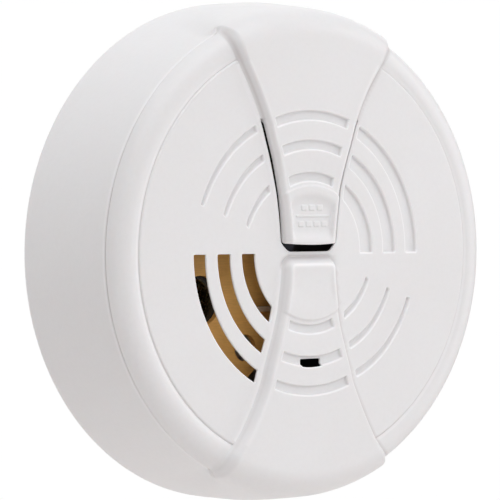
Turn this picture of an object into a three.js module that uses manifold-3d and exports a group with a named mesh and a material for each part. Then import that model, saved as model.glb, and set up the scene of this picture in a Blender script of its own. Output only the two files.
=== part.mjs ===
// A 5 inch round, battery-powered ionisation smoke alarm on its wall bracket.
// Millimetres. The wall is the plane y = 0, the alarm faces -Y and +Z is up.
import * as THREE from "three";
import { mergeVertices } from "three/addons/utils/BufferGeometryUtils.js";
import Module from "manifold-3d";

const wasm = await Module();
wasm.setup();

// ---------------------------------------------------------------- driving dimensions
const R_BACK = 63.5; // outer radius at the wall side, 5 inches across
const Y_REAR = -0.5; // rear rim of the cover, just off the wall
const Y_FACE = -33.2; // flat front face of the cover
const R_LINE = 59.6; // radius at the groove line that runs round the side wall
const Y_LINE = -30.2; // where that line meets the rounded rim
const R_RIM = 5.7; // radius of the rounded rim
const R_PETAL = 52.9; // radius of the flat front face
const SKIN = 1.5; // wall of the front face
const WALL = 2.0; // wall of the side
const RAISE = 2.2; // height of the raised bow over the front face
const FLANK = 1.9; // width of the bow's sloping flank
const R_BOW = 54.5; // radius where the bow's face starts to round off
const Z_HINGE = 33.0; // where the test tongue springs from the cover
const Z_TIP = 2.0; // free end of the test tongue
const SLIT = 0.7; // open slit beside the tongue
const CUT = 0.3; // clearance at a cut
const ARCS = [
  [17.57, 21.07],
  [25.23, 28.65],
  [32.82, 35.96],
]; // the three vent slots, inner and outer radius
const BOW_ARCS = [
  [17.7, 20.2],
  [25.6, 28.2],
  [32.9, 35.5],
]; // the blind grooves on the bow
const Y_BOARD = -25.0; // front of the circuit board
const T_BOARD = 1.6;
const Y_FLOOR = -6.6; // rear housing's floor, seen from the wall
const T_FLOOR = 1.6;
const BATTERY = [26.5, 17.5, 48.5]; // 9 V block: width, depth, length with its studs
const BATTERY_X = 13.0; // centre of the battery
const R_BRACKET = [42.0, 50.0]; // bracket ring
const T_BRACKET = 1.6;

// ---------------------------------------------------------------- helpers
function toSolid(geometry) {
  const g = geometry.index ? geometry.toNonIndexed() : geometry.clone();
  g.deleteAttribute("normal");
  g.deleteAttribute("uv");
  const m = mergeVertices(g, 1e-4);
  const tri = new Uint32Array(m.index.array);
  const keep = [];
  for (let i = 0; i < tri.length; i += 3)
    if (tri[i] !== tri[i + 1] && tri[i + 1] !== tri[i + 2] && tri[i] !== tri[i + 2])
      keep.push(tri[i], tri[i + 1], tri[i + 2]);
  const make = (t) =>
    new wasm.Manifold(
      new wasm.Mesh({
        numProp: 3,
        vertProperties: new Float32Array(m.attributes.position.array),
        triVerts: new Uint32Array(t),
      }),
    );
  let s = make(keep);
  if (s.volume() < 0) {
    for (let i = 0; i < keep.length; i += 3)
      [keep[i + 1], keep[i + 2]] = [keep[i + 2], keep[i + 1]];
    s = make(keep);
  }
  return s;
}
const join = (...s) => s.flat().reduce((a, b) => a.add(b));
const cut = (a, ...s) => s.flat().reduce((x, y) => x.subtract(y), a);
const common = (...s) => s.flat().reduce((a, b) => a.intersect(b));

// A profile of [radius, y] pairs turned about the alarm's own axis, Y.
function turned(profile, segments = 96, x = 0, z = 0) {
  const pts = profile.map(([r, y]) => new THREE.Vector2(r, y));
  if (pts[0].x > 1e-6 || pts[pts.length - 1].x > 1e-6) pts.push(pts[0].clone());
  const g = new THREE.LatheGeometry(pts, segments);
  g.translate(x, 0, z);
  return toSolid(g);
}
// A flat outline in X and Z, from yBack (nearer the wall) to yFront.
function prism(outline, yBack, yFront, bevel) {
  const shape = outline.isShape
    ? outline
    : new THREE.Shape(outline.map(([x, z]) => new THREE.Vector2(x, z)));
  const g = new THREE.ExtrudeGeometry(shape, {
    depth: yBack - yFront,
    bevelEnabled: false,
    curveSegments: 12,
    ...bevel,
  });
  g.rotateX(Math.PI / 2);
  g.translate(0, yBack, 0);
  return toSolid(g);
}
function rod(x, z, r, yBack, yFront, segments = 20) {
  const g = new THREE.CylinderGeometry(r, r, yBack - yFront, segments);
  g.translate(x, (yBack + yFront) / 2, z);
  return toSolid(g);
}
function block(x0, x1, y0, y1, z0, z1) {
  const g = new THREE.BoxGeometry(x1 - x0, y1 - y0, z1 - z0);
  g.translate((x0 + x1) / 2, (y0 + y1) / 2, (z0 + z1) / 2);
  return toSolid(g);
}
function bar(radius, length, axis, x, y, z, segments = 16) {
  const g = new THREE.CylinderGeometry(radius, radius, length, segments);
  if (axis === "x") g.rotateZ(Math.PI / 2);
  if (axis === "z") g.rotateX(Math.PI / 2);
  g.translate(x, y, z);
  return toSolid(g);
}
// A round wire through the given points.
function wire(points, radius, sides = 8, steps = 24) {
  const curve = new THREE.CatmullRomCurve3(
    points.map((p) => new THREE.Vector3(...p)),
    false,
    "centripetal",
  );
  const ring = [];
  for (let i = 0; i < sides; i++) {
    const a = (i / sides) * Math.PI * 2;
    ring.push(new THREE.Vector2(Math.cos(a) * radius, Math.sin(a) * radius));
  }
  return toSolid(
    new THREE.ExtrudeGeometry(new THREE.Shape(ring), {
      steps,
      extrudePath: curve,
      bevelEnabled: false,
    }),
  );
}
function sector(a0, a1, r = 80, n = 8) {
  const pts = [[0, 0]];
  for (let i = 0; i <= n; i++) {
    const a = THREE.MathUtils.degToRad(a0 + ((a1 - a0) * i) / n);
    pts.push([r * Math.cos(a), r * Math.sin(a)]);
  }
  return pts;
}
const wedge = (a0, a1, yBack = 5, yFront = -45) => prism(sector(a0, a1), yBack, yFront);
// An arc-shaped strip between two radii, clipped by the lines given afterwards.
function arcStrip(r0, r1, a0, a1, cx0 = 0, cz0 = 0, cx1 = 0, cz1 = 0, n = 9) {
  const pts = [];
  for (let i = 0; i <= n; i++) {
    const a = THREE.MathUtils.degToRad(a0 + ((a1 - a0) * i) / n);
    pts.push([cx1 + r1 * Math.cos(a), cz1 + r1 * Math.sin(a)]);
  }
  for (let i = n; i >= 0; i--) {
    const a = THREE.MathUtils.degToRad(a0 + ((a1 - a0) * i) / n);
    pts.push([cx0 + r0 * Math.cos(a), cz0 + r0 * Math.sin(a)]);
  }
  return pts;
}

const root = new THREE.Group();
root.name = "smoke_alarm";
const material = (color, roughness, metalness = 0) =>
  new THREE.MeshStandardMaterial({ color, roughness, metalness });
const M = {
  white: () => material(0xe8e6e4, 0.42),
  bracket: () => material(0xe2e0dc, 0.5),
  board: () => material(0xa87a45, 0.6),
  black: () => material(0x1b1b1d, 0.5),
  steel: () => material(0xb9bcc0, 0.3, 1),
  brass: () => material(0xc9a552, 0.3, 1),
  ceramic: () => material(0xe9e4d2, 0.5),
  tan: () => material(0xd8b98a, 0.45),
  red: () => material(0xc1271b, 0.35),
  lens: () => material(0xb0281f, 0.15),
  foil: () => material(0x2b5c8a, 0.4),
  green: () => material(0x39683f, 0.5),
  battery: () => material(0x2a2c30, 0.4, 0.3),
  foot: () => material(0xcdb9a5, 0.5),
  foam: () => material(0x3b3c40, 0.9),
};
function put(name, solid, mat) {
  const m = solid.getMesh();
  const n = m.numProp;
  const v = new Float32Array(m.numVert * 3);
  for (let i = 0; i < m.numVert; i++) v.set(m.vertProperties.subarray(i * n, i * n + 3), i * 3);
  const g = new THREE.BufferGeometry();
  g.setAttribute("position", new THREE.BufferAttribute(v, 3));
  g.setIndex(new THREE.BufferAttribute(new Uint32Array(m.triVerts), 1));
  g.computeVertexNormals();
  const mesh = new THREE.Mesh(g, mat);
  mesh.name = name;
  root.add(mesh);
}

// ---------------------------------------------------------------- outlines of the front
// Half width of the bow at its foot, against distance from the centre line.
const BOW_HALF = [
  [0, 8.5], [2, 8.6], [8, 9.1], [15, 10.2], [20, 11.6], [24, 12.9], [28.4, 14.4],
  [32, 15.3], [38, 18.0], [42.5, 20.3], [47.3, 23.0], [50, 25.0], [52, 27.3],
  [54, 30.2], [56, 33.6], [58.5, 38.0],
];
function bowHalf(z) {
  const a = Math.abs(z);
  for (let i = 1; i < BOW_HALF.length; i++)
    if (a <= BOW_HALF[i][0]) {
      const [z0, w0] = BOW_HALF[i - 1];
      const [z1, w1] = BOW_HALF[i];
      return w0 + ((w1 - w0) * (a - z0)) / (z1 - z0);
    }
  return BOW_HALF[BOW_HALF.length - 1][1];
}
// The bow between two heights, drawn in by inset.
function bowOutline(zLow, zHigh, inset = 0, n = 14) {
  const right = [];
  for (let i = 0; i <= n; i++) {
    const z = zLow + ((zHigh - zLow) * i) / n;
    right.push([bowHalf(z) - inset, z]);
  }
  return [...right, ...right.map(([x, z]) => [-x, z]).reverse()];
}
// Cone of the side wall.
const wallR = (y) => R_BACK + ((R_LINE - R_BACK) * (Y_REAR - y)) / (Y_REAR - Y_LINE);

// Rounded rim between the side wall's line and the flat face.
const RIM_C = [54.6, -27.5];
function rimArc(radius, from, to, n) {
  const out = [];
  for (let i = 0; i <= n; i++) {
    const a = THREE.MathUtils.degToRad(from + ((to - from) * i) / n);
    out.push([RIM_C[0] + radius * Math.sin(a), RIM_C[1] - radius * Math.cos(a)]);
  }
  return out;
}
const outerProfile = [
  [0, 5],
  [R_BACK, 5],
  [R_BACK, Y_REAR],
  [wallR(-28.7), -28.7],
  [wallR(-29.3) - 0.65, -29.3],
  ...rimArc(R_RIM, 61.8, -18, 5),
  [52.5, -32.8],
  [52.3, Y_FACE],
  [0, Y_FACE],
];
const innerProfile = [
  [0, 6],
  [wallR(Y_REAR) - WALL, 6],
  [wallR(Y_REAR) - WALL, Y_REAR],
  [wallR(-27.0) - WALL, -27.0],
  ...rimArc(R_RIM - 1.9, 62, -10, 4),
  [51.0, Y_FACE + SKIN],
  [0, Y_FACE + SKIN],
];
const bodyOuter = turned(outerProfile, 72);
const bodyInner = turned(innerProfile, 72);

// The bow: a raised face whose end rounds over the rim and runs into the side wall.
function bowTurned(offset) {
  const y = Y_FACE - RAISE + offset;
  const r = 6.95;
  const pts = [[0, 4], [56, 4]];
  pts.push([wallR(-18) - 0.1 - offset, -14]);
  for (let i = 0; i <= 5; i++) {
    const a = THREE.MathUtils.degToRad(86 - (86 * i) / 5);
    pts.push([R_BOW + (r - offset) * Math.sin(a), y + (r - offset) - (r - offset) * Math.cos(a)]);
  }
  pts.push([0, y]);
  return turned(pts, 72);
}
const bowBlank = prism(bowOutline(-58.5, 58.5, 0, 26), -14, Y_FACE - RAISE - 0.0, {
  depth: Y_FACE - -14 < 0 ? -14 - Y_FACE : 1,
  bevelEnabled: true,
  bevelThickness: RAISE,
  bevelSize: FLANK,
  bevelOffset: -FLANK,
  bevelSegments: 1,
});
const bowSolid = common(bowBlank, bowTurned(0));
const bowHollow = common(
  prism(bowOutline(-58.5, 58.5, FLANK + 0.6, 26), 0, Y_FACE - RAISE + 1.6),
  bowTurned(1.6),
);
// Where the bow runs down the side wall it swells the wall: a cone whose axis is nearer the edge than the wall's own.
const SWELL_AXIS = 18.3;
const SWELL = [[-29.2, 61.2], [-26, 61.65], [-22, 62.2], [-14, 63.1], [-3, 63.4], [2, 63.4]];
const swellSolid = (side) =>
  turned([[0, 2], ...SWELL.map(([y, r]) => [r - SWELL_AXIS, y]).reverse(), [0, -29.2]], 72, 0, side * SWELL_AXIS);
const swellReach = (side) => block(-34, 34, -40, 10, ...(side > 0 ? [40, 70] : [-70, -40]));
const swells = [1, -1].map((side) => common(swellSolid(side), swellReach(side)));
const coverOuter = join(bodyOuter, bowSolid, swells);
const coverInner = join(bodyInner, bowHollow);
const shell = cut(coverOuter, coverInner, block(-80, 80, Y_REAR, 20, -80, 80));

// ---------------------------------------------------------------- vents and grooves
// Area outside the bow by a margin, one side of it.
function besideBow(side, zLow, zHigh, margin, n = 16) {
  const pts = [];
  for (let i = 0; i <= n; i++) {
    const z = zLow + ((zHigh - zLow) * i) / n;
    pts.push([side * (bowHalf(z) + margin), z]);
  }
  pts.push([side * 70, zHigh], [side * 70, zLow]);
  return pts;
}
const ventCutters = [];
for (const [r0, r1] of ARCS) {
  // open slots, lower left; widest at their level end
  const strip = arcStrip(r0, r1, 180, 262, 0.6, -0.45, -0.05, -0.08);
  ventCutters.push(
    common(
      prism(strip, Y_FACE + 4, Y_FACE - 1),
      prism(besideBow(-1, -58, 0, 1.6), Y_FACE + 5, Y_FACE - 2),
    ),
  );
}
// behind the open slots the skin is thinned, so the slots have a fine edge
for (const [r0, r1] of ARCS) {
  const strip = arcStrip(r0 - 0.8, r1 + 0.8, 178, 262, 0.6, -0.45, -0.05, -0.08);
  ventCutters.push(
    common(prism(strip, Y_FACE + 4, Y_FACE + 0.6), prism(besideBow(-1, -58, 1.0, 0.8), Y_FACE + 5, Y_FACE - 2)),
  );
}
const grooveCutters = [];
const GROOVE = 0.9;
for (const [r0, r1] of ARCS) {
  // the same three as blind grooves, upper right
  const strip = arcStrip(r0, r1, 0, 82, -0.6, 0.45, 0.05, 0.08);
  grooveCutters.push(
    common(
      prism(strip, Y_FACE + GROOVE, Y_FACE - 1),
      prism(besideBow(1, 0, 58, 1.6), Y_FACE + 3, Y_FACE - 2),
    ),
  );
}
for (const [r0, r1] of ARCS) {
  // thin crescents, upper left and lower right
  const crescent = arcStrip(r1 - 0.78, r1, 96, 160, 0, -1.25, 0, 0, 12);
  grooveCutters.push(
    common(
      prism(crescent, Y_FACE + GROOVE, Y_FACE - 1),
      prism(besideBow(-1, 4, 58, 1.8), Y_FACE + 3, Y_FACE - 2),
    ),
  );
  const low = arcStrip(r1 - 0.78, r1, -84, -20, 0, 1.25, 0, 0, 12);
  grooveCutters.push(
    common(
      prism(low, Y_FACE + GROOVE, Y_FACE - 1),
      prism(besideBow(1, -58, -4, 1.8), Y_FACE + 3, Y_FACE - 2),
    ),
  );
}
const bowGroove = (r0, r1, up) => {
  const strip = up ? arcStrip(r0, r1, 45, 135, -0.7, 0, -0.7, 0) : arcStrip(r0, r1, 225, 315, -0.7, 0, -0.7, 0);
  const band = up
    ? bowOutline(9, 45, FLANK + 0.9)
    : bowOutline(-45, -9, FLANK + 0.9);
  return common(
    prism(strip, Y_FACE - RAISE + GROOVE, Y_FACE - RAISE - 1),
    prism(band, Y_FACE + 2, Y_FACE - RAISE - 2),
  );
};
const upGrooves = BOW_ARCS.map(([a, b]) => bowGroove(a, b, true));
const lowGrooves = BOW_ARCS.map(([a, b]) => bowGroove(a, b, false));

// ---------------------------------------------------------------- front cover and test tongue
// The window in the cover that the tongue lies in.
const WINDOW_TOP = Z_HINGE + CUT;
function windowOutline() {
  const pts = [];
  const n = 12;
  const zLow = 0.35;
  const c = 2.6;
  pts.push([bowHalf(0) + 0.3 - c, zLow], [bowHalf(0) + 0.3 - 0.8, zLow + 0.8], [bowHalf(0) + 0.3, zLow + c]);
  for (let i = 1; i <= n; i++) {
    const z = zLow + c + ((WINDOW_TOP - zLow - c) * i) / n;
    pts.push([bowHalf(z) + 0.35, z]);
  }
  return [...pts, ...pts.map(([x, z]) => [-x, z]).reverse()];
}
function tongueOutline() {
  const pts = [];
  const n = 12;
  for (let i = 0; i <= n; i++) {
    const z = Z_TIP + ((Z_HINGE - Z_TIP) * i) / n;
    pts.push([bowHalf(z) + 0.35 - SLIT, z]);
  }
  return [...pts, ...pts.map(([x, z]) => [-x, z]).reverse()];
}
const windowCut = prism(windowOutline(), -20, -45);
const tongueCut = prism(tongueOutline(), -20, -45);

// Finger pad: a recessed, slightly dished area above the tongue's tip, below an arc ledge.
const padScoop = common(
  prism(arcStrip(0.1, 15.9, 20, 160, 0, 0, 0, 0, 16), Y_FACE - RAISE + 0.7, Y_FACE - RAISE - 1),
  prism(bowOutline(4.2, 16.2, FLANK + 0.9), Y_FACE + 2, -45),
);
// Lower pad of the bow, mirrored: a dish with its valley at the top.
const lowScoop = prism(
  [[-6.4, -1.4], [-6.4, -3.2], [6.4, -3.2], [6.4, -1.4]],
  Y_FACE - RAISE + 1.0,
  Y_FACE - RAISE - 1,
);
// Bosses that take the housing's three screws.
const SCREWS = [90, 210, 330].map((a) => {
  const t = THREE.MathUtils.degToRad(a + 30);
  return [55.3 * Math.cos(t), 55.3 * Math.sin(t)];
});
const bosses = SCREWS.map(([x, z]) => cut(rod(x, z, 3.3, -8.5, -30.5, 16), rod(x, z, 1.35, -5, -26, 10)));
const BOARD_POSTS = [[-40, 27], [-28, -40], [24, -41]];
const posts = BOARD_POSTS.map(([x, z]) =>
  cut(rod(x, z, 2.6, Y_BOARD - 0.3, Y_FACE + SKIN - 0.4, 14), rod(x, z, 1.0, Y_BOARD + 2, -30, 10)),
);
const ledHole = prism([[-3.8, -28.4], [2.6, -28.4], [2.6, -26.35], [-3.8, -26.35]], -20, -45);
let cover = cut(shell, windowCut, ventCutters, grooveCutters, lowGrooves, upGrooves, lowScoop, ledHole);
cover = join(cover, bosses, posts);
// bosses and posts stop at the face
cover = common(cover, coverOuter);
put("front_cover", cover, M.white());

let tongue = cut(common(shell, tongueCut), upGrooves, padScoop);
const ribs = [];
for (const [z, w] of [[11.1, 3.6], [9.4, 5.9], [7.4, 5.9]])
  ribs.push(block(-w, w, Y_FACE - RAISE + 0.15, Y_FACE - RAISE + 1.0, z - (w > 5 && z > 9 ? 0.25 : 0.6), z + (w > 5 && z > 9 ? 0.25 : 0.6)));
tongue = join(tongue, ribs);
// the post that reaches in to the contact spring, and the tongue's stiffening web
tongue = join(
  tongue,
  rod(0, 6.5, 2.0, -27.75, Y_FACE - 0.3, 16),
  block(-0.7, 0.7, -34.0, -30.4, 6.5, 27),
);
put("test_button", tongue, M.white());

// ---------------------------------------------------------------- rear housing
const R_RECESS = 56.2;
const pocketWall = 1.2;
const Y_DOOR = -1.0; // outer face of the battery door
const T_DOOR = 1.4;
const POCKET = { x0: BATTERY_X - 14.1, x1: BATTERY_X + 14.1, z0: -28.0, z1: 26.6, y1: -21.4 };
const DOOR = { x0: POCKET.x0 + 0.3, x1: POCKET.x1 - 0.3, z0: -28.6, z1: 23.0 };
const HINGE_Z = -30.6;
const HINGE_Y = -1.75;
let housing = turned(
  [
    [0, Y_FLOOR],
    [R_RECESS, Y_FLOOR],
    [R_RECESS, -0.9],
    [wallR(-0.9) - WALL - 0.35, -0.9],
    [wallR(-8.2) - WALL - 0.35, Y_FLOOR - T_FLOOR],
    [0, Y_FLOOR - T_FLOOR],
  ],
  64,
);
// ledges that the bracket's hooks hold
const LEDGES = [30, 150, 270];
const ledgeRing = turned([[51.0, -2.0], [R_RECESS + 0.5, -2.0], [R_RECESS + 0.5, -3.3], [51.0, -3.3]], 64);
const ledges = LEDGES.map((a) => common(ledgeRing, wedge(a - 7, a + 7)));
// battery pocket: a box that stands back through the bracket and is open to the wall
const pocketOuter = block(POCKET.x0 - pocketWall, POCKET.x1 + pocketWall, POCKET.y1 - pocketWall, Y_DOOR, HINGE_Z - 1.9, POCKET.z1 + pocketWall);
const pocketInner = block(POCKET.x0, POCKET.x1, POCKET.y1, 1, POCKET.z0, POCKET.z1 - 0.0);
housing = join(housing, ledges, pocketOuter);
housing = cut(housing, pocketInner);
// the land behind the hinge is only a shelf
housing = cut(housing, block(POCKET.x0 - 5, POCKET.x1 + 5, -30, Y_FLOOR - T_FLOOR, HINGE_Z - 4, POCKET.z0 - pocketWall));
housing = cut(
  housing,
  block(BATTERY_X + 11.6, BATTERY_X + 20, Y_FLOOR, 2, HINGE_Z - 4, POCKET.z0 - pocketWall),
  block(BATTERY_X - 20, BATTERY_X - 11.6, Y_FLOOR, 2, HINGE_Z - 4, POCKET.z0 - pocketWall),
);
// the door's seat, the gaps for its hinge knuckles and the pin's groove
housing = cut(housing, block(POCKET.x0, POCKET.x1, Y_DOOR - T_DOOR - 0.3, 1, POCKET.z0 - pocketWall - 0.1, DOOR.z1 + 0.4));
const KNUCKLES = [[BATTERY_X - 9.5, BATTERY_X - 4.5], [BATTERY_X + 4.5, BATTERY_X + 9.5]];
housing = cut(housing, KNUCKLES.map(([a, b]) => block(a - 0.4, b + 0.4, -4.6, 1, HINGE_Z - 3, POCKET.z0 - 0.8)));
housing = cut(
  housing,
  bar(0.8, 22.0, "x", BATTERY_X, HINGE_Y, HINGE_Z, 12),
  block(BATTERY_X - 11, BATTERY_X + 11, HINGE_Y, 1, HINGE_Z - 0.8, HINGE_Z + 0.8),
);
// screw holes and slotted vents
housing = cut(housing, SCREWS.map(([x, z]) => rod(x, z, 1.75, 2, -12, 12)));
housing = cut(housing, SCREWS.map(([x, z]) => rod(x, z, 3.4, 2, Y_FLOOR, 16)));
const rearVents = [];
for (let i = 0; i < 6; i++) rearVents.push(block(-36, -12, -12, -2, -17 + i * 6, -14.6 + i * 6));
housing = cut(housing, rearVents);
// slots that the battery contacts' tabs pass through
housing = cut(housing, block(BATTERY_X - 11.4, BATTERY_X - 1.4, -23, -20.5, POCKET.z1 - 2.3, POCKET.z1 - 1.1));
housing = cut(housing, block(BATTERY_X + 0.9, BATTERY_X + 11.9, -23, -20.5, POCKET.z1 - 2.3, POCKET.z1 - 1.1));
put("rear_housing", housing, M.white());

// ---------------------------------------------------------------- wall bracket
let bracket = turned([[R_BRACKET[0], 0], [R_BRACKET[1], 0], [R_BRACKET[1], -T_BRACKET], [R_BRACKET[0], -T_BRACKET]], 64);
const lobeRing = turned([[36.2, 0], [43, 0], [43, -T_BRACKET], [36.2, -T_BRACKET]], 64);
bracket = join(bracket, [0, 180].map((a) => common(lobeRing, wedge(a - 10, a + 10))));
const innerLip = cut(
  turned([[R_BRACKET[0], -T_BRACKET + 0.1], [R_BRACKET[0] + 1.2, -T_BRACKET + 0.1], [R_BRACKET[0] + 1.2, -3.2], [R_BRACKET[0], -3.2]], 64),
  wedge(-11, 11),
  wedge(169, 191),
);
bracket = join(bracket, innerLip);
const hookRing = turned(
  [[47.4, -T_BRACKET + 0.1], [49.6, -T_BRACKET + 0.1], [49.6, -3.7], [52.6, -3.7], [52.6, -5.0], [47.4, -5.0]],
  72,
);
bracket = join(bracket, LEDGES.map((a) => common(hookRing, wedge(a - 6, a + 6))));
// a keyhole in each lobe and a plain screw slot above and below
const keyhole = (a) => {
  const t = THREE.MathUtils.degToRad(a);
  return join(
    rod(42.6 * Math.cos(t), 42.6 * Math.sin(t), 3.8, 2, -6, 20),
    prism(arcStrip(40.6, 44.6, a, a + 9.5, 0, 0, 0, 0, 4), 2, -6),
  );
};
bracket = cut(
  bracket,
  keyhole(0),
  keyhole(180),
  prism(arcStrip(44.2, 48.2, 84, 96, 0, 0, 0, 0, 6), 2, -6),
  prism(arcStrip(44.2, 48.2, 250, 262, 0, 0, 0, 0, 6), 2, -6),
);
put("mounting_bracket", bracket, M.bracket());

// ---------------------------------------------------------------- battery door
let door = block(DOOR.x0, DOOR.x1, Y_DOOR - T_DOOR, Y_DOOR, DOOR.z0 + 0.2, DOOR.z1);
for (const [a, b] of KNUCKLES)
  door = join(
    door,
    block(a, b, Y_DOOR - T_DOOR, Y_DOOR, HINGE_Z, DOOR.z0 + 1),
    bar(1.25, b - a, "x", (a + b) / 2, HINGE_Y, HINGE_Z, 16),
  );
door = join(
  door,
  block(BATTERY_X - 4, BATTERY_X + 4, -6.0, Y_DOOR - T_DOOR + 0.1, DOOR.z1 - 1.7, DOOR.z1 - 0.7),
  block(BATTERY_X - 5, BATTERY_X + 5, Y_DOOR - 0.1, Y_DOOR + 0.6, DOOR.z1 - 2.8, DOOR.z1 - 1.9),
  block(BATTERY_X - 5, BATTERY_X + 5, Y_DOOR - 0.1, Y_DOOR + 0.6, DOOR.z1 - 4.8, DOOR.z1 - 3.9),
  block(BATTERY_X - 5, BATTERY_X + 5, Y_DOOR - 0.1, Y_DOOR + 0.6, DOOR.z1 - 6.8, DOOR.z1 - 5.9),
);
door = cut(door, bar(0.65, 40, "x", BATTERY_X, HINGE_Y, HINGE_Z, 12));
put("battery_door", door, M.white());
// the pin that the door turns on, held in the housing
put("door_hinge_pin", bar(0.5, 21.4, "x", BATTERY_X, HINGE_Y, HINGE_Z, 12), M.steel());
put("door_pad", block(BATTERY_X - 9, BATTERY_X + 9, -3.1, Y_DOOR - T_DOOR - 0.05, -14, 10), M.foam());

// ---------------------------------------------------------------- battery
const B = { x0: BATTERY_X - BATTERY[0] / 2, x1: BATTERY_X + BATTERY[0] / 2, y0: -20.9, y1: -3.4, z0: -27.4, z1: 18.5 };
const roundedRect = (w, h, r) => {
  const s = new THREE.Shape();
  s.moveTo(-w / 2 + r, -h / 2);
  s.lineTo(w / 2 - r, -h / 2);
  s.absarc(w / 2 - r, -h / 2 + r, r, -Math.PI / 2, 0);
  s.lineTo(w / 2, h / 2 - r);
  s.absarc(w / 2 - r, h / 2 - r, r, 0, Math.PI / 2);
  s.lineTo(-w / 2 + r, h / 2);
  s.absarc(-w / 2 + r, h / 2 - r, r, Math.PI / 2, Math.PI);
  s.lineTo(-w / 2, -h / 2 + r);
  s.absarc(-w / 2 + r, -h / 2 + r, r, Math.PI, Math.PI * 1.5);
  return s;
};
function upright(w, d, r, z0, z1, x, y) {
  const g = new THREE.ExtrudeGeometry(roundedRect(w, d, r), { depth: z1 - z0, bevelEnabled: false, curveSegments: 4 });
  g.translate(x, y, z0);
  return toSolid(g);
}
const BY = (B.y0 + B.y1) / 2;
put("battery_case", upright(26.3, 17.3, 2.4, B.z0, B.z1 - 0.6, BATTERY_X, BY), M.battery());
put("battery_top", upright(25.0, 16.0, 1.8, B.z1 - 0.5, B.z1 + 0.5, BATTERY_X, BY), M.black());
const stud = (x, r0, r1, n) => {
  const g = new THREE.LatheGeometry(
    [[0, 0], [r0 * 0.8, 0], [r0 * 0.8, 0.6], [r0, 1.0], [r1, 2.6], [r1 * 0.75, 2.6], [r1 * 0.6, 1.6], [0, 1.6]].map(([a, b]) => new THREE.Vector2(a, b)),
    n,
  );
  g.rotateX(Math.PI / 2);
  g.translate(x, BY, B.z1 + 0.6);
  return toSolid(g);
};
put("battery_stud_positive", stud(BATTERY_X - 6.35, 2.9, 2.9, 20), M.steel());
put("battery_stud_negative", stud(BATTERY_X + 6.35, 3.9, 4.4, 6), M.steel());

// spring clips that grip the studs, each with a tab to the board
function contact(x, half) {
  const y0 = BY - 5.2;
  const y1 = BY + 5.2;
  return join(
    block(x - half, x + half, y0, y1, 21.9, 22.3),
    block(x - half, x + half, y0, y0 + 0.5, 22.0, 25.3),
    block(x - half, x + half, -22.9, y0 + 0.3, 24.8, 25.2),
    block(x - 1.0, x + 1.0, -23.3, -22.8, 24.8, 25.2),
  );
}
put("battery_contact_positive", contact(BATTERY_X - 6.35, 4.4), M.steel());
put("battery_contact_negative", contact(BATTERY_X + 6.35, 5.0), M.steel());
// lever that pops up when the pocket is empty, so the door can't be shut on nothing
put(
  "battery_reminder_lever",
  join(
    block(POCKET.x0 + 0.2, POCKET.x0 + 0.6, -19.0, -4.0, -20, 2),
    bar(1.2, 0.4, "x", POCKET.x0 + 0.4, -18.8, -20, 12),
  ),
  M.red(),
);

// ---------------------------------------------------------------- circuit board
const yb0 = Y_BOARD;
const yb1 = Y_BOARD + T_BOARD;
const boardRound = rod(0, 0, 50.5, yb1, yb0, 72);
const bigHole = [-27.6, -11.6];
const smallHole = [-13.75, -23.65];
let board = cut(
  boardRound,
  rod(bigHole[0], bigHole[1], 6.18, 0, -40, 32),
  rod(smallHole[0], smallHole[1], 3.38, 0, -40, 24),
  prism([[-14.0, -32.0], [-10.2, -28.5], [-6.4, -32.0], [-10.2, -35.5]], 0, -40),
  BOARD_POSTS.map(([x, z]) => rod(x, z, 1.3, 0, -40, 12)),
);
put("circuit_board", board, M.board());
BOARD_POSTS.forEach(([x, z], i) =>
  put(
    "board_screw_" + (i + 1),
    join(rod(x, z, 2.4, yb1 + 1.5, yb1 + 0.1, 14), rod(x, z, 0.85, yb1 + 0.2, -29.5, 10)),
    M.steel(),
  ),
);

// ---------------------------------------------------------------- sensing chamber, on the board's rear
const CH = [-22, 20];
const yc = yb1 + 0.1;
put("chamber_base", turned([[0, yc], [14.6, yc], [14.6, yc + 2.0], [0, yc + 2.0]], 40, ...CH), M.black());
let can = turned(
  [[11.2, yc + 2.1], [13.6, yc + 2.1], [13.6, yc + 2.5], [12.2, yc + 2.5], [12.2, yc + 13.2], [0, yc + 13.2], [0, yc + 12.7], [11.7, yc + 12.7], [11.7, yc + 2.6], [11.2, yc + 2.6]],
  40,
  ...CH,
);
const canSlots = [];
for (let i = 0; i < 4; i++) {
  const g = new THREE.BoxGeometry(40, 5.5, 3.2);
  g.rotateY((i * Math.PI) / 4);
  g.translate(CH[0], yc + 8.0, CH[1]);
  canSlots.push(toSolid(g));
}
can = cut(can, canSlots);
put("chamber_can", can, M.steel());
put("chamber_collector", cut(turned([[3.4, yc + 6.0], [8.4, yc + 6.0], [8.4, yc + 6.4], [3.4, yc + 6.4]], 32, ...CH)), M.steel());
put(
  "source_holder",
  turned([[0, yc + 2.1], [3.0, yc + 2.1], [3.0, yc + 3.8], [1.6, yc + 4.2], [1.6, yc + 5.2], [0, yc + 5.2]], 24, ...CH),
  M.steel(),
);

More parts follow.
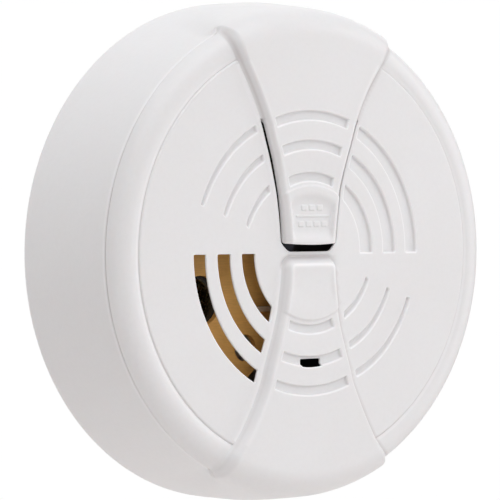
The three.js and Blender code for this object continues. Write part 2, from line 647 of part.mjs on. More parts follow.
// ---------------------------------------------------------------- sounder
const HO = [-29.5, -12.5];
const R_DISC = 9.4;
let hornBody = turned(
  [[R_DISC - 2.6, yb1 + 0.1], [R_DISC + 2.6, yb1 + 0.1], [R_DISC + 2.6, yb1 + 7.0], [R_DISC + 1.2, yb1 + 7.0], [R_DISC + 1.2, yb1 + 4.0], [R_DISC - 0.9, yb1 + 4.0], [R_DISC - 0.9, yb1 + 1.2], [R_DISC - 2.6, yb1 + 1.2]],
  36,
  ...HO,
);
put("sounder_body", hornBody, M.black());
put("sounder_disc", rod(HO[0], HO[1], R_DISC, yb1 + 4.3, yb1 + 4.1, 36), M.brass());
put("sounder_ceramic", rod(HO[0], HO[1], 6.4, yb1 + 4.65, yb1 + 4.4, 32), M.ceramic());
const hz = HO[1];
put(
  "sounder_contact_disc",
  join(
    block(HO[0] - 8.6, HO[0] - 7.4, yb1 + 4.5, yb1 + 8.0, hz - 1.5, hz + 1.5),
    block(HO[0] - 14.6, HO[0] - 7.4, yb1 + 7.6, yb1 + 8.0, hz - 1.5, hz + 1.5),
    block(HO[0] - 14.6, HO[0] - 14.2, yb1 + 0.1, yb1 + 8.0, hz - 1.5, hz + 1.5),
  ),
  M.steel(),
);
put(
  "sounder_contact_ceramic",
  join(
    block(HO[0] - 0.4, HO[0] + 0.8, yb1 + 4.85, yb1 + 8.0, hz - 1.5, hz + 1.5),
    block(HO[0] - 0.4, HO[0] + 14.6, yb1 + 7.6, yb1 + 8.0, hz - 1.5, hz + 1.5),
    block(HO[0] + 14.2, HO[0] + 14.6, yb1 + 0.1, yb1 + 8.0, hz - 1.5, hz + 1.5),
  ),
  M.steel(),
);

// ---------------------------------------------------------------- parts on the board
const yr = yb1 + 0.1;
put("signal_chip", block(33.0, 39.4, yr + 0.6, yr + 3.9, -9.8, 9.8), M.black());
const leads = (x, dir) => {
  const out = [block(Math.min(x, x + dir * 0.35), Math.max(x, x + dir * 0.35), yr + 1.9, yr + 2.4, -9.2, 9.2)];
  for (let i = 0; i < 8; i++) {
    const z = -8.89 + i * 2.54;
    out.push(block(Math.min(x, x + dir * 0.35), Math.max(x, x + dir * 0.35), yr, yr + 2.2, z - 0.3, z + 0.3));
  }
  return join(out);
};
put("chip_leads_left", leads(32.9, -1), M.steel());
put("chip_leads_right", leads(39.5, 1), M.steel());
put("capacitor_large", turned([[0, yr], [4.0, yr], [4.0, yr + 9.6], [3.6, yr + 10.0], [0, yr + 10.0]], 24, 36.5, -18.5), M.foil());
put("capacitor_small", turned([[0, yr], [2.5, yr], [2.5, yr + 6.6], [2.2, yr + 7.0], [0, yr + 7.0]], 20, 35.0, -27.5), M.foil());
put("capacitor_film", block(32.5, 39.5, yr, yr + 6.0, 14.5, 17.5), M.green());
const resistor = (x, z, len, dir) => {
  const body = dir === "x" ? bar(1.15, len, "x", x, yr + 1.3, z, 12) : bar(1.15, len, "z", x, yr + 1.3, z, 12);
  const e = len / 2 + 1.6;
  const p = (d) => (dir === "x" ? [x + d, 0, z] : [x, 0, z + d]);
  const path = [-e, -e, e, e].map((d, i) => {
    const q = p(d);
    q[1] = i === 0 || i === 3 ? yr : yr + 1.3;
    return q;
  });
  const leg = (d) => {
    const q = p(d);
    return join(
      dir === "x"
        ? block(Math.min(q[0], x) , Math.max(q[0], x), yr + 1.05, yr + 1.55, z - 0.25, z + 0.25)
        : block(x - 0.25, x + 0.25, yr + 1.05, yr + 1.55, Math.min(q[2], z), Math.max(q[2], z)),
      block(q[0] - 0.25, q[0] + 0.25, yr, yr + 1.5, q[2] - 0.25, q[2] + 0.25),
    );
  };
  return join(body, leg(-e), leg(e));
};
put("resistor_1", resistor(44.4, -5.5, 6.2, "z"), M.tan());
put("resistor_2", resistor(44.4, 6.0, 6.2, "z"), M.tan());
put("resistor_3", resistor(4.0, 35.5, 6.2, "x"), M.tan());
put("resistor_4", resistor(4.0, 40.5, 6.2, "x"), M.tan());

// indicator lamp behind the bow's lower middle groove
const LED = [-2.3, -27.4];
put(
  "indicator_led",
  turned([[0, -30.6], [0.8, -30.4], [1.3, -30.0], [1.45, -29.4], [1.45, -27.6], [1.7, -27.6], [1.7, -26.8], [0, -26.8]], 20, ...LED),
  M.lens(),
);
put("led_lead_1", block(LED[0] - 0.85, LED[0] - 0.4, -26.7, yb0 - 0.1, LED[1] - 0.2, LED[1] + 0.2), M.steel());
put("led_lead_2", block(LED[0] + 0.4, LED[0] + 0.85, -26.7, yb0 - 0.1, LED[1] - 0.2, LED[1] + 0.2), M.steel());

// black shroud that keeps the lamp's light to its own window, and a black sheet behind the button
put(
  "led_shroud",
  cut(
    block(-4.9, 4.0, -33.35, yb0 - 0.1, -30.0, -24.8),
    block(-4.3, 3.4, -40, yb0 - 0.9, -29.4, -25.4),
    block(LED[0] - 1.2, LED[0] + 1.2, -28, -20, LED[1] - 0.6, LED[1] + 0.6),
  ),
  M.black(),
);
put(
  "insulating_sheet",
  cut(
    prism([[-9.5, -0.5], [18, -0.5], [19, 0.5], [19, 33], [18, 34], [-9.5, 34], [-10.5, 33], [-10.5, 0.5]], yb0 - 0.1, yb0 - 0.35),
    rod(0.17, 7.08, 2.2, -20, -30, 20),
  ),
  M.black(),
);

// ---------------------------------------------------------------- test contact
// A leaf from its foot on the board to under the button's post, and the stud it closes on.
const LEAF_FOOT = [-6.2, -12.0];
const LEAF_TIP = [0.7, 8.6];
const dx = LEAF_TIP[0] - LEAF_FOOT[0];
const dz = LEAF_TIP[1] - LEAF_FOOT[1];
const L = Math.hypot(dx, dz);
const u = [dx / L, dz / L];
const n = [-u[1], u[0]];
const at = (s, t) => [LEAF_FOOT[0] + u[0] * s + n[0] * t, LEAF_FOOT[1] + u[1] * s + n[1] * t];
const leaf = prism([at(-0.4, -1.6), at(L, -1.6), at(L, 1.6), at(-0.4, 1.6)], -27.05, -27.4);
put("test_contact_leaf", leaf, M.steel());
put(
  "test_contact_foot",
  block(-11.6, -4.4, -27.5, yb0 - 0.1, -14.6, -13.35),
  M.foot(),
);
const studAt = at(L - 1.6, 0);
put("test_contact_stud", rod(studAt[0], studAt[1], 1.2, yb0 - 0.05, yb0 - 0.3, 14), M.brass());

// ---------------------------------------------------------------- screws that close the housing
SCREWS.forEach(([x, z], i) =>
  put(
    "housing_screw_" + (i + 1),
    cut(
      join(rod(x, z, 2.9, -4.6, -6.5, 18), rod(x, z, 1.1, -6.4, -20, 10)),
      block(x - 2.0, x + 2.0, -5.4, 0, z - 0.35, z + 0.35),
      block(x - 0.35, x + 0.35, -5.4, 0, z - 2.0, z + 2.0),
    ),
    M.steel(),
  ),
);

export default root;
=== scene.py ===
import math

import bpy
import numpy as np
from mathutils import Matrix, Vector
from mathutils.geometry import delaunay_2d_cdt


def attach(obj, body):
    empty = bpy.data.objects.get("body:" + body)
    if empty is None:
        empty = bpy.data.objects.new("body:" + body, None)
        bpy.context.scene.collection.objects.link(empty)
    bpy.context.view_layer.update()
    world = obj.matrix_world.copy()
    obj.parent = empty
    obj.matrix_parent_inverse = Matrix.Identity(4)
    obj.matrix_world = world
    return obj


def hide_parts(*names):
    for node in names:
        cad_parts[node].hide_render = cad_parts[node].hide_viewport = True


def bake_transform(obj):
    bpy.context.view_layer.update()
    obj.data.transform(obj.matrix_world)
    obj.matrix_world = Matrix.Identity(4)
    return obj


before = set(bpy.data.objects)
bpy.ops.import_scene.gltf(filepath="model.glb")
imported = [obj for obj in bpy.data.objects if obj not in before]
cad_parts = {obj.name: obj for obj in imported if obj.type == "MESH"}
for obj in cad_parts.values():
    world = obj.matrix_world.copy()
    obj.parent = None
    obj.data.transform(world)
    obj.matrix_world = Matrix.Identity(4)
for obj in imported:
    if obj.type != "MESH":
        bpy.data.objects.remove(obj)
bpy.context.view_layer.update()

MM = 0.001
# Driving dimensions of the moulded front, in millimetres, as the CAD has them.
Y_FACE = -33.2
RAISE = 2.2
R_BACK, R_LINE, Y_REAR, Y_LINE = 63.5, 59.6, -0.5, -30.2
RIM_C, R_RIM = (54.6, -27.5), 5.7
R_JOIN = 51.4  # the flat front is triangulated inside this radius, and swept outside it
Z_HINGE, Z_TIP, Z_SILL = 33.15, 2.15, 0.3
SLOT_ARCS = ((17.57, 21.07), (25.23, 28.65), (32.82, 35.96))
BOW_ARCS = ((17.7, 20.2), (25.6, 28.2), (32.9, 35.5))
GROOVE_DEPTH = 0.88
LED_WINDOW = (-0.6, -27.35, 3.2, 1.0)
WINDOW_EDGE, WIDER, TONGUE_EDGE = 0.08, 0.50, -0.60  # the slit beside the tongue, outside the foot of the bow

rng = np.random.default_rng(7)


def wall_r(y):
    return R_BACK + (R_LINE - R_BACK) * (Y_REAR - y) / (Y_REAR - Y_LINE)


# ------------------------------------------------------------------ the bow's outline
_T = np.array([(0, 8.5), (2, 8.6), (8, 9.1), (15, 10.2), (20, 11.6), (24, 12.9), (28.4, 14.4), (32, 15.3), (38, 18.0), (42.5, 20.3),
               (47.3, 23.0), (50, 25.0), (52, 27.3), (54, 30.2), (56, 33.6), (58.5, 38.0), (64, 48.0)])
_zf = np.linspace(0, 64, 1281)
_hf = np.interp(_zf, _T[:, 0], _T[:, 1])
_k = np.exp(-0.5 * (np.arange(-60, 61) / 24.0) ** 2)
_k /= _k.sum()
_pad = np.concatenate([_hf[60:0:-1], _hf, _hf[-1] + (_hf[-1] - _hf[-2]) * np.arange(1, 61)])
_hf = np.convolve(_pad, _k, "valid")
_df = np.gradient(_hf, _zf)


def half(z):
    return np.interp(np.abs(z), _zf, _hf)


def foot(x, z):
    """Distance outside the bow's foot line, negative inside it."""
    s = np.interp(np.abs(z), _zf, _df)
    return (np.abs(x) - half(z)) / np.sqrt(1 + s * s)


# ------------------------------------------------------------------ small geometry tools
def ramp(u, a=0.2, b=0.55):
    """A step from 0 to 1 whose slope ramps up until a, is level until b and ramps down until 1."""
    u = np.clip(u, 0, 1)
    area = a / 2 + (b - a) + (1 - b) / 2
    y = np.where(u < a, u * u / (2 * a), np.where(u < b, a / 2 + (u - a), a / 2 + (b - a) + (u - b) - (u - b) ** 2 / (2 * (1 - b))))
    return y / area


def smooth(u):
    u = np.clip(u, 0, 1)
    return u * u * (3 - 2 * u)


def arc(cx, cz, r, a0, a1, step=0.3):
    n = max(4, int(abs(math.radians(a1 - a0)) * r / step))
    a = np.radians(np.linspace(a0, a1, n + 1))
    return np.stack([cx + r * np.cos(a), cz + r * np.sin(a)], 1)


def resample(p, step, closed=True):
    q = np.vstack([p, p[:1]]) if closed else p
    q = q[np.concatenate([[True], np.hypot(*np.diff(q, axis=0).T) > 1e-6])]
    s = np.concatenate([[0], np.cumsum(np.hypot(*np.diff(q, axis=0).T))])
    n = max(6, int(round(s[-1] / step)))
    t = np.linspace(0, s[-1], n + 1)
    out = np.stack([np.interp(t, s, q[:, 0]), np.interp(t, s, q[:, 1])], 1)
    return out[:-1] if closed else out


def rounded(corners, radii, step=0.25):
    """A closed outline through polylines: corners is a list of point runs, joined in order, each joint rounded by its radius."""
    runs = [np.asarray(c, float) for c in corners]
    out = []
    k = len(runs)
    for i, run in enumerate(runs):
        r0, r1 = radii[i], radii[(i + 1) % k]
        s = np.concatenate([[0], np.cumsum(np.hypot(*np.diff(run, axis=0).T))])
        total = s[-1]
        r0, r1 = min(r0, total * 0.45), min(r1, total * 0.45)
        n = max(2, int((total - r0 - r1) / step))
        t = np.linspace(r0, total - r1, n + 1)
        mid = np.stack([np.interp(t, s, run[:, 0]), np.interp(t, s, run[:, 1])], 1)
        out.append((mid, run[-1]))
    pts = []
    for i, (mid, corner) in enumerate(out):
        pts.append(mid)
        nxt = out[(i + 1) % k][0][0]
        a, c, b = mid[-1], corner, nxt
        if np.hypot(*(b - a)) > 0.05:
            n = max(2, int(np.hypot(*(b - a)) / (step * 0.6)))
            for j in range(1, n):
                t = j / n
                pts.append(((1 - t) ** 2 * a + 2 * t * (1 - t) * c + t * t * b)[None])
    p = np.vstack(pts)
    p = p[np.hypot(*(np.roll(p, -1, 0) - p).T) > 1e-6]
    area = 0.5 * np.sum(p[:, 0] * np.roll(p[:, 1], -1) - np.roll(p[:, 0], -1) * p[:, 1])
    return p if area > 0 else p[::-1]


def signed(poly, x, z):
    """Signed distance to a closed outline, negative inside. Only near it is it exact."""
    out = np.full(x.shape, 9.0)
    lo, hi = poly.min(0) - 2.2, poly.max(0) + 2.2
    m = (x > lo[0]) & (x < hi[0]) & (z > lo[1]) & (z < hi[1])
    if not m.any():
        return out
    px, pz = x[m], z[m]
    a, b = poly, np.roll(poly, -1, 0)
    best = np.full(px.shape, 1e9)
    inside = np.zeros(px.shape, bool)
    for s in range(0, len(px), 4000):
        X, Z = px[s:s + 4000, None], pz[s:s + 4000, None]
        d = b - a
        t = np.clip(((X - a[:, 0]) * d[:, 0] + (Z - a[:, 1]) * d[:, 1]) / (d ** 2).sum(1), 0, 1)
        best[s:s + 4000] = np.sqrt(((X - a[:, 0] - t * d[:, 0]) ** 2 + (Z - a[:, 1] - t * d[:, 1]) ** 2).min(1))
        cross = ((a[:, 1] > Z) != (b[:, 1] > Z)) & (X < (b[:, 0] - a[:, 0]) * (Z - a[:, 1]) / np.where(b[:, 1] == a[:, 1], 1e-9, b[:, 1] - a[:, 1]) + a[:, 0])
        inside[s:s + 4000] = cross.sum(1) % 2 == 1
    out[m] = np.where(inside, -best, best)
    return out


def offset_points(poly, dist, step):
    p = resample(poly, step)
    t = np.roll(p, -1, 0) - np.roll(p, 1, 0)
    t /= np.hypot(*t.T)[:, None]
    q = p + np.stack([t[:, 1], -t[:, 0]], 1) * dist
    d = signed(poly, q[:, 0], q[:, 1])
    return q[np.abs(d - dist) < 0.03]


# ------------------------------------------------------------------ outlines of slots and grooves
def clip_run(p, margin, side_inside=False):
    """The run of p from its start to where it comes within margin of the foot line."""
    d = foot(p[:, 0], p[:, 1])
    d = -d if side_inside else d
    bad = np.where(d < margin)[0]
    if len(bad) == 0:
        return p
    i = bad[0]
    t = (d[i - 1] - margin) / (d[i - 1] - d[i])
    return np.vstack([p[:i], p[i - 1] + t * (p[i] - p[i - 1])])


def margin_line(z0, z1, margin, side):
    z = np.linspace(z0, z1, max(3, int(abs(z1 - z0) / 0.3)))
    s = np.interp(np.abs(z), _zf, _df)
    return np.stack([side * (half(z) + margin * np.sqrt(1 + s * s)), z], 1)


def slot_outline(r0, r1, top=-0.1, margin=1.6):
    outer = clip_run(arc(-0.05, -0.08, r1, 180.1, 262), margin)
    inner = clip_run(arc(0.6, -0.45, r0, 179.0, 262), margin)
    outer = outer[outer[:, 1] < top]
    inner = inner[inner[:, 1] < top]
    outer = np.vstack([[outer[0, 0], top], outer])
    inner = np.vstack([[inner[0, 0], top], inner])
    line = margin_line(outer[-1, 1], inner[-1, 1], margin, -1)
    line[0], line[-1] = outer[-1], inner[-1]
    lid = np.array([inner[0], outer[0]])
    return rounded([outer, line, inner[::-1], lid], [0.25, 0.3, 0.3, 0.25])


def crescent_outline(r1, margin=1.8):
    outer = clip_run(arc(0, 0, r1, 160.6, 96), margin)
    inner = clip_run(arc(0, -1.25, r1 - 0.78, 158.6, 96), margin)
    line = margin_line(outer[-1, 1], inner[-1, 1], margin, -1)
    line[0], line[-1] = outer[-1], inner[-1]
    lid = np.array([inner[0], outer[0]])
    return rounded([outer, line, inner[::-1], lid], [0.35, 0.3, 0.3, 0.35])


def bow_outline(r0, r1, up):
    cx, shift = -0.7, -0.55
    runs = []
    for r in (r1, r0):
        a = arc(cx, 0, r, 90, 20, 0.2)
        right = clip_run(a - [shift, 0], 3.6, True) + [shift, 0]
        a = arc(cx, 0, r, 90, 160, 0.2)
        left = clip_run(a - [shift, 0], 3.6, True) + [shift, 0]
        runs.append(np.vstack([left[::-1], right[1:]]))
    o, i = runs
    p = rounded([o, np.array([o[-1], i[-1]]), i[::-1], np.array([i[0], o[0]])], [0.2, 0.2, 0.2, 0.2])
    return p if up else (p * [1, -1])[::-1]


slots = [slot_outline(*a) for a in SLOT_ARCS]
blind = [-slot_outline(a[0], a[1], top=0.3) for a in SLOT_ARCS]
crescents = [crescent_outline(a[1]) for a in SLOT_ARCS]
crescents += [-c for c in crescents]
bow_up = [bow_outline(*a, True) for a in BOW_ARCS]
bow_low = [bow_outline(*a, False) for a in BOW_ARCS]
lx, lz, lw, lh = LED_WINDOW
_bx = np.linspace(-lw, lw, 24)
led_low = np.stack([lx + _bx, lz - lh - 0.25 * (1 - (_bx / lw) ** 2) + 0.12], 1)
led_top = np.stack([lx + _bx[::-1], np.full(24, lz + lh)], 1)
led_hole = rounded([led_low, np.array([led_low[-1], led_top[0]]), led_top, np.array([led_top[-1], led_low[0]])], [0.3] * 4, 0.2)


def edge_line(z, margin):
    s = np.interp(np.abs(z), _zf, _df)
    return half(z) + margin * np.sqrt(1 + s * s)


def window_outline():
    z = np.linspace(Z_SILL + 2.1, Z_HINGE, 124)
    r = np.stack([edge_line(z, WINDOW_EDGE + WIDER), z], 1)
    l = np.stack([-edge_line(z, WINDOW_EDGE), z], 1)[::-1]
    sill = np.array([[l[-1, 0] + 2.3, Z_SILL], [r[0, 0] - 2.3, Z_SILL]])
    return rounded([sill, np.array([sill[1], r[0]]), r, np.array([r[-1], l[0]]), l, np.array([l[-1], sill[0]])], [0.9, 0.9, 0.9, 0.0, 0.0, 0.9], 0.3)


def tongue_outline():
    z = np.linspace(Z_TIP, Z_HINGE, 130)
    r = np.stack([edge_line(z, np.interp(z, (4, 22), (-0.38, TONGUE_EDGE))), z], 1)
    l = r[::-1] * [-1, 1]
    x = np.linspace(-r[0, 0], r[0, 0], 40)
    tip = np.stack([x, Z_TIP + 0.25 - 0.4 * (1 - (x / r[0, 0]) ** 2)], 1)
    return rounded([tip, r, np.array([r[-1], l[0]]), l], [0.9, 0.9, 0.0, 0.0], 0.3)


window = window_outline()
tongue = tongue_outline()
# the root of the tongue, whose points the cover and the tongue share
_w0, _w1, _w2 = (float(edge_line(Z_HINGE, e)) for e in (TONGUE_EDGE, WINDOW_EDGE, WINDOW_EDGE + WIDER))
ROOT = np.stack([np.linspace(_w0, -_w0, 97), np.full(97, Z_HINGE)], 1)


def open_loop(poly, step, root):
    """The outline in even steps, but for its side on the root line, which is the run of points given, from right to left."""
    on = poly[:, 1] > Z_HINGE - 1e-6
    first = int(np.where(on & ~np.roll(on, 1))[0][0])
    p = np.roll(poly, -first, 0)
    rest = p[int(on.sum()) - 1:]
    rest = resample(np.vstack([rest, p[:1]]), step, closed=False)
    return np.vstack([root, rest[1:-1]])

# ------------------------------------------------------------------ the front's relief
LOW_TOP = -1.0  # foot of the lower bow's upper end
COVER_LOW = 3.2  # below this height the cover beside the window is flat


def bow_inside(x, z, low_to=1.2):
    """Depth inside the bow's foot, with the lower bow's upper end rounded."""
    d = -foot(x, z)
    low = z < low_to
    d2 = LOW_TOP - z
    r = 2.9
    corner = (d < r) & (d2 < r)
    m = np.where(corner, r - np.hypot(np.maximum(r - d, 0), np.maximum(r - d2, 0)), np.minimum(d, d2))
    return np.where(low, m, d)


def flank(d):
    """Rise of the bow over its foot: a crisp corner, a steep slope, then a rounded top."""
    k, top_at, w = 1.4, 1.0, 1.15
    cove = np.where(d < -0.04, 0, k * (d + 0.04) ** 2 / 0.16)
    t = np.clip((d - top_at) / w, 0, 1)
    top = k * top_at + k * w * (t - t * t / 2)
    h = np.where(d < 0.04, cove, np.where(d < top_at, k * d, top))
    return h * RAISE / (k * top_at + k * w / 2)


def pad_relief(x, z):
    """What the bow's face does between its grooves: it sinks a little towards the pads, then a ledge, then the dished pad."""
    r = np.hypot(x + 0.7, z)
    inner = np.abs(x) - (half(z) - 2.35)  # negative over the flat middle
    mid = smooth(-inner / 0.9)
    sink = 0.42 * smooth((26.0 - r) / 9.0)
    ledge = ramp((17.15 - r) / 0.7, 0.3, 0.6)
    h = -sink + 0.42 * ledge * smooth((26.0 - r) / 9.0)
    up = z > 0.5
    # the finger pad: a scoop under its ledge and above the tip's rim
    tz = np.clip((z - 2.9) / (15.2 - 2.9), 0, 1)
    scoop_z = ramp((15.35 - r) / 3.4, 0.35, 0.5) * ramp((z - 2.75) / 3.0, 0.25, 0.5)
    scoop_x = ramp((half(z) - 2.25 - np.abs(x + 0.15)) / 0.9, 0.4, 0.5)
    h_up = -0.85 * scoop_z * scoop_x
    # the lower pad: a slight dish
    dish = smooth((15.2 - r) / 5.0) * smooth((-z - 3.4) / 3.0) * scoop_x
    h_low = -0.22 * dish
    return np.where(up, h + h_up, h + h_low), mid


MARKS = []
for row_z, n, w, pitch, x0 in ((11.2, 3, 1.7, 2.5, -2.6), (7.15, 4, 1.7, 2.5, -3.65)):
    for i in range(n):
        MARKS.append((x0 + i * pitch, row_z, w / 2, 0.6))
MARKS.append((0.1, 9.15, 5.3, 0.22))


def marks(x, z):
    h = np.zeros_like(x)
    for cx, cz, hx, hz in MARKS:
        qx, qz = np.abs(x - cx) - hx + 0.2, np.abs(z - cz) - hz + 0.2
        d = np.hypot(np.maximum(qx, 0), np.maximum(qz, 0)) + np.minimum(np.maximum(qx, qz), 0) - 0.2
        h = np.maximum(h, 0.22 * ramp((0.16 - d) / 0.26, 0.3, 0.6))
    return h


def groove(t, depth, outer=0.0):
    """Depth below the face at distance t inside a blind groove's edge."""
    return depth * ramp((t + 0.12) / 0.62)


def relief(x, z, low_to=1.2):
    """Height of the outer face over the flat front, and how much painted highlight lightens the point, mostly along
    edges.
    """
    d = bow_inside(x, z, low_to)
    h = flank(d)
    frac = h / RAISE
    pad, _ = pad_relief(x, z)
    h = h + pad * smooth((d - 0.3) / 1.6)
    # a narrow hollow in front of the lower bow's upper end
    end = smooth((z + 5.2) / 2.6) * (z < 1.2) * (d > -1.3)
    h = h - 0.38 * np.exp(-(((d + 0.15) / 0.42) ** 2)) * smooth((z + 4.3) / 2.7) * (z < 1.2)
    # painted highlight along the top of the bow's flank, stronger at the lower bow's upper end, and painted light on
    # the petal beside the bow's left foot
    edge = np.exp(-(((d - 1.95) / 0.4) ** 2)) * (0.3 + 0.75 * end)
    beside = np.where((x < 0) & (d < 0.02), np.exp(-((d / 0.85) ** 2)), 0) * smooth((np.abs(z) - 2.0) / 3.0)
    edge = np.maximum(edge, 0.9 * beside)
    r = np.hypot(x, z)
    # each groove and hole is cut into the height, with a painted highlight along its edge
    for poly in blind + crescents:
        s = signed(poly, x, z)
        lean = 0.30 * np.clip((np.hypot(x, z) - 17) / 20, 0, 1)
        h = h - groove(-s, GROOVE_DEPTH) * (1.0)
        edge = np.maximum(edge, np.exp(-((s - 0.02) / 0.16) ** 2))
    for poly in bow_up + bow_low:
        s = signed(poly, x, z)
        h = h - groove(-s, GROOVE_DEPTH)
        edge = np.maximum(edge, np.exp(-((s - 0.02) / 0.16) ** 2))
    for poly in slots + [led_hole]:
        s = signed(poly, x, z)
        h = h - 0.5 * np.clip(0.34 - s, 0, 0.6) ** 2 / 0.34
        edge = np.maximum(edge, np.exp(-(s / 0.22) ** 2) * 1.2)
    return h, frac, edge


def painted_shade(v, low_to=1.2):
    """Painted shade: darker at the foot of the bow's flank, more so on the upper half and at the lower bow's upper end,
    on the right side beside the bow, and along the steep sides of the blind grooves.
    """
    x, z = v[:, 0], v[:, 1]
    d = bow_inside(x, z, low_to)
    c = np.where(z > 0, 0.45, 0.15) * np.exp(-(((d - 0.5) / 0.24) ** 2))
    end = smooth((z + 4.6) / 2.8) * (z < 1.2)
    c = np.maximum(c, 0.5 * end * np.exp(-(((d - 0.15) / 0.5) ** 2)))
    # the shaded side
    c = np.maximum(c, np.where(x > 0, 0.5, 0) * np.exp(-(((d + 0.1) / 0.5) ** 2)) * smooth((np.abs(z) - 2.0) / 3.0))
    for poly in blind + crescents + bow_up + bow_low:
        s = signed(poly, x, z)
        c = np.maximum(c, 0.2 * np.exp(-(((s + 0.3) / 0.16) ** 2)))
    return c


def window_lip(x, z, poly, r=0.3):
    s = signed(poly, x, z)
    # a rounded lip along the outline, and a painted highlight along it
    return -0.5 * np.clip(r - np.abs(s), 0, r) ** 2 / r, np.exp(-(s / 0.22) ** 2)


# The real bow isn't quite symmetric: how far its foot stands from the mean outline, left and right, against height.
SHIFT_LEFT = np.array([(-60, 0), (-54, 0.5), (-51.5, -0.9), (-50, -1.8), (-48.6, -1.5), (-43.5, -0.6), (-35.7, -0.2), (-28, -0.1), (-13, 0), (0, 0),
                       (6, -0.1), (12, 0), (16, 0.05), (20, 0.22), (24, 0.5), (28, 0.6), (32, 0.45), (37, 0.45), (42.4, 0.45), (46.3, 0.35), (48.3, 0.35),
                       (50, 0.6), (51.2, 1.2), (53, 3.1), (54, 3.4), (60, 3.4)], float)
SHIFT_RIGHT = np.array([(-60, 0), (-54, -0.3), (-48.6, -0.9), (-43.5, -1.3), (-35.7, -1.4), (-28, -1.5), (-20.5, -1.3), (-13, -0.55), (-5, -0.3), (0, -0.25),
                        (6, -0.15), (12, -0.15), (16, -0.45), (20, -0.5), (24, -0.5), (28, -0.4), (32, -0.15), (37, -0.2), (41, 0.1), (45, 0.6), (48, 1.0),
                        (51, 0.9), (54, 0.6), (60, 0)], float)


def soften(table):
    z = np.arange(-66, 66.01, 0.1)
    d = np.interp(z, table[:, 0], table[:, 1])
    k = np.exp(-0.5 * (np.arange(-30, 31) / 10.0) ** 2)
    return z, np.convolve(np.pad(d, 30, "edge"), k / k.sum(), "valid")


_sl, _sr = soften(SHIFT_LEFT), soften(SHIFT_RIGHT)


def settle(p):
    """Moves points beside the bow's foot to where the real one runs, along the face, and round the axis on the rim."""
    x, z = p[:, 0], p[:, 2]
    r = np.hypot(x, z)
    out = foot(x, z)
    reach = 4.5 + 2.5 * smooth((np.abs(z) - 44) / 6)
    near = np.where(out > 0, np.exp(-((out / 5.5) ** 2)), 1 - smooth(-out / reach))
    near = near * smooth((np.abs(x) - 3.0) / 3.0)
    near = np.where((r > 57) & (p[:, 1] > -31.5), near * smooth((-26.5 - p[:, 1]) / 3.6), near)
    move = np.where(x < 0, np.interp(z, *_sl), np.interp(z, *_sr)) * near
    x2 = x + move
    r2 = np.hypot(x2, z)
    keep = smooth((r - 45) / 5)
    k = 1 + (r / np.maximum(r2, 1e-6) - 1) * keep
    return np.stack([x2 * k, p[:, 1], z * k], 1)


# ------------------------------------------------------------------ swept rim and side wall
N_BOW, N_FLANK, N_PETAL = 30, 14, 86
FLANK_D = np.array([2.5, 2.15, 1.9, 1.65, 1.4, 1.15, 0.92, 0.7, 0.5, 0.3, 0.1, 0.0, -0.1, -0.35])


def foot_angles(R):
    """Angles from the top, at radius R, of the flank's depths, for one quadrant."""
    a = np.radians(np.linspace(8, 44, 3000))
    d = -foot(R * np.sin(a), R * np.cos(a))
    return np.interp(-FLANK_D, -d, a)


def quadrant_angles(R):
    f = foot_angles(R)
    return np.concatenate([np.linspace(0, f[0], N_BOW + 1)[:-1], f, np.linspace(f[-1], math.pi / 2, N_PETAL + 1)[1:]])


N_Q = N_BOW + N_FLANK + N_PETAL
QD = np.concatenate([np.full(N_BOW, 3.0), FLANK_D, np.full(N_PETAL, -3.0)])


def ring_angles(R):
    """Angle from the top, clockwise seen from the front (towards +X), for the whole ring."""
    q = quadrant_angles(R)
    a = np.concatenate([q[:-1], math.pi - q[::-1][:-1], math.pi + q[:-1], 2 * math.pi - q[::-1][:-1]])
    return a


def ring_depth():
    return np.concatenate([QD[:-1], QD[::-1][:-1], QD[:-1], QD[::-1][:-1]])


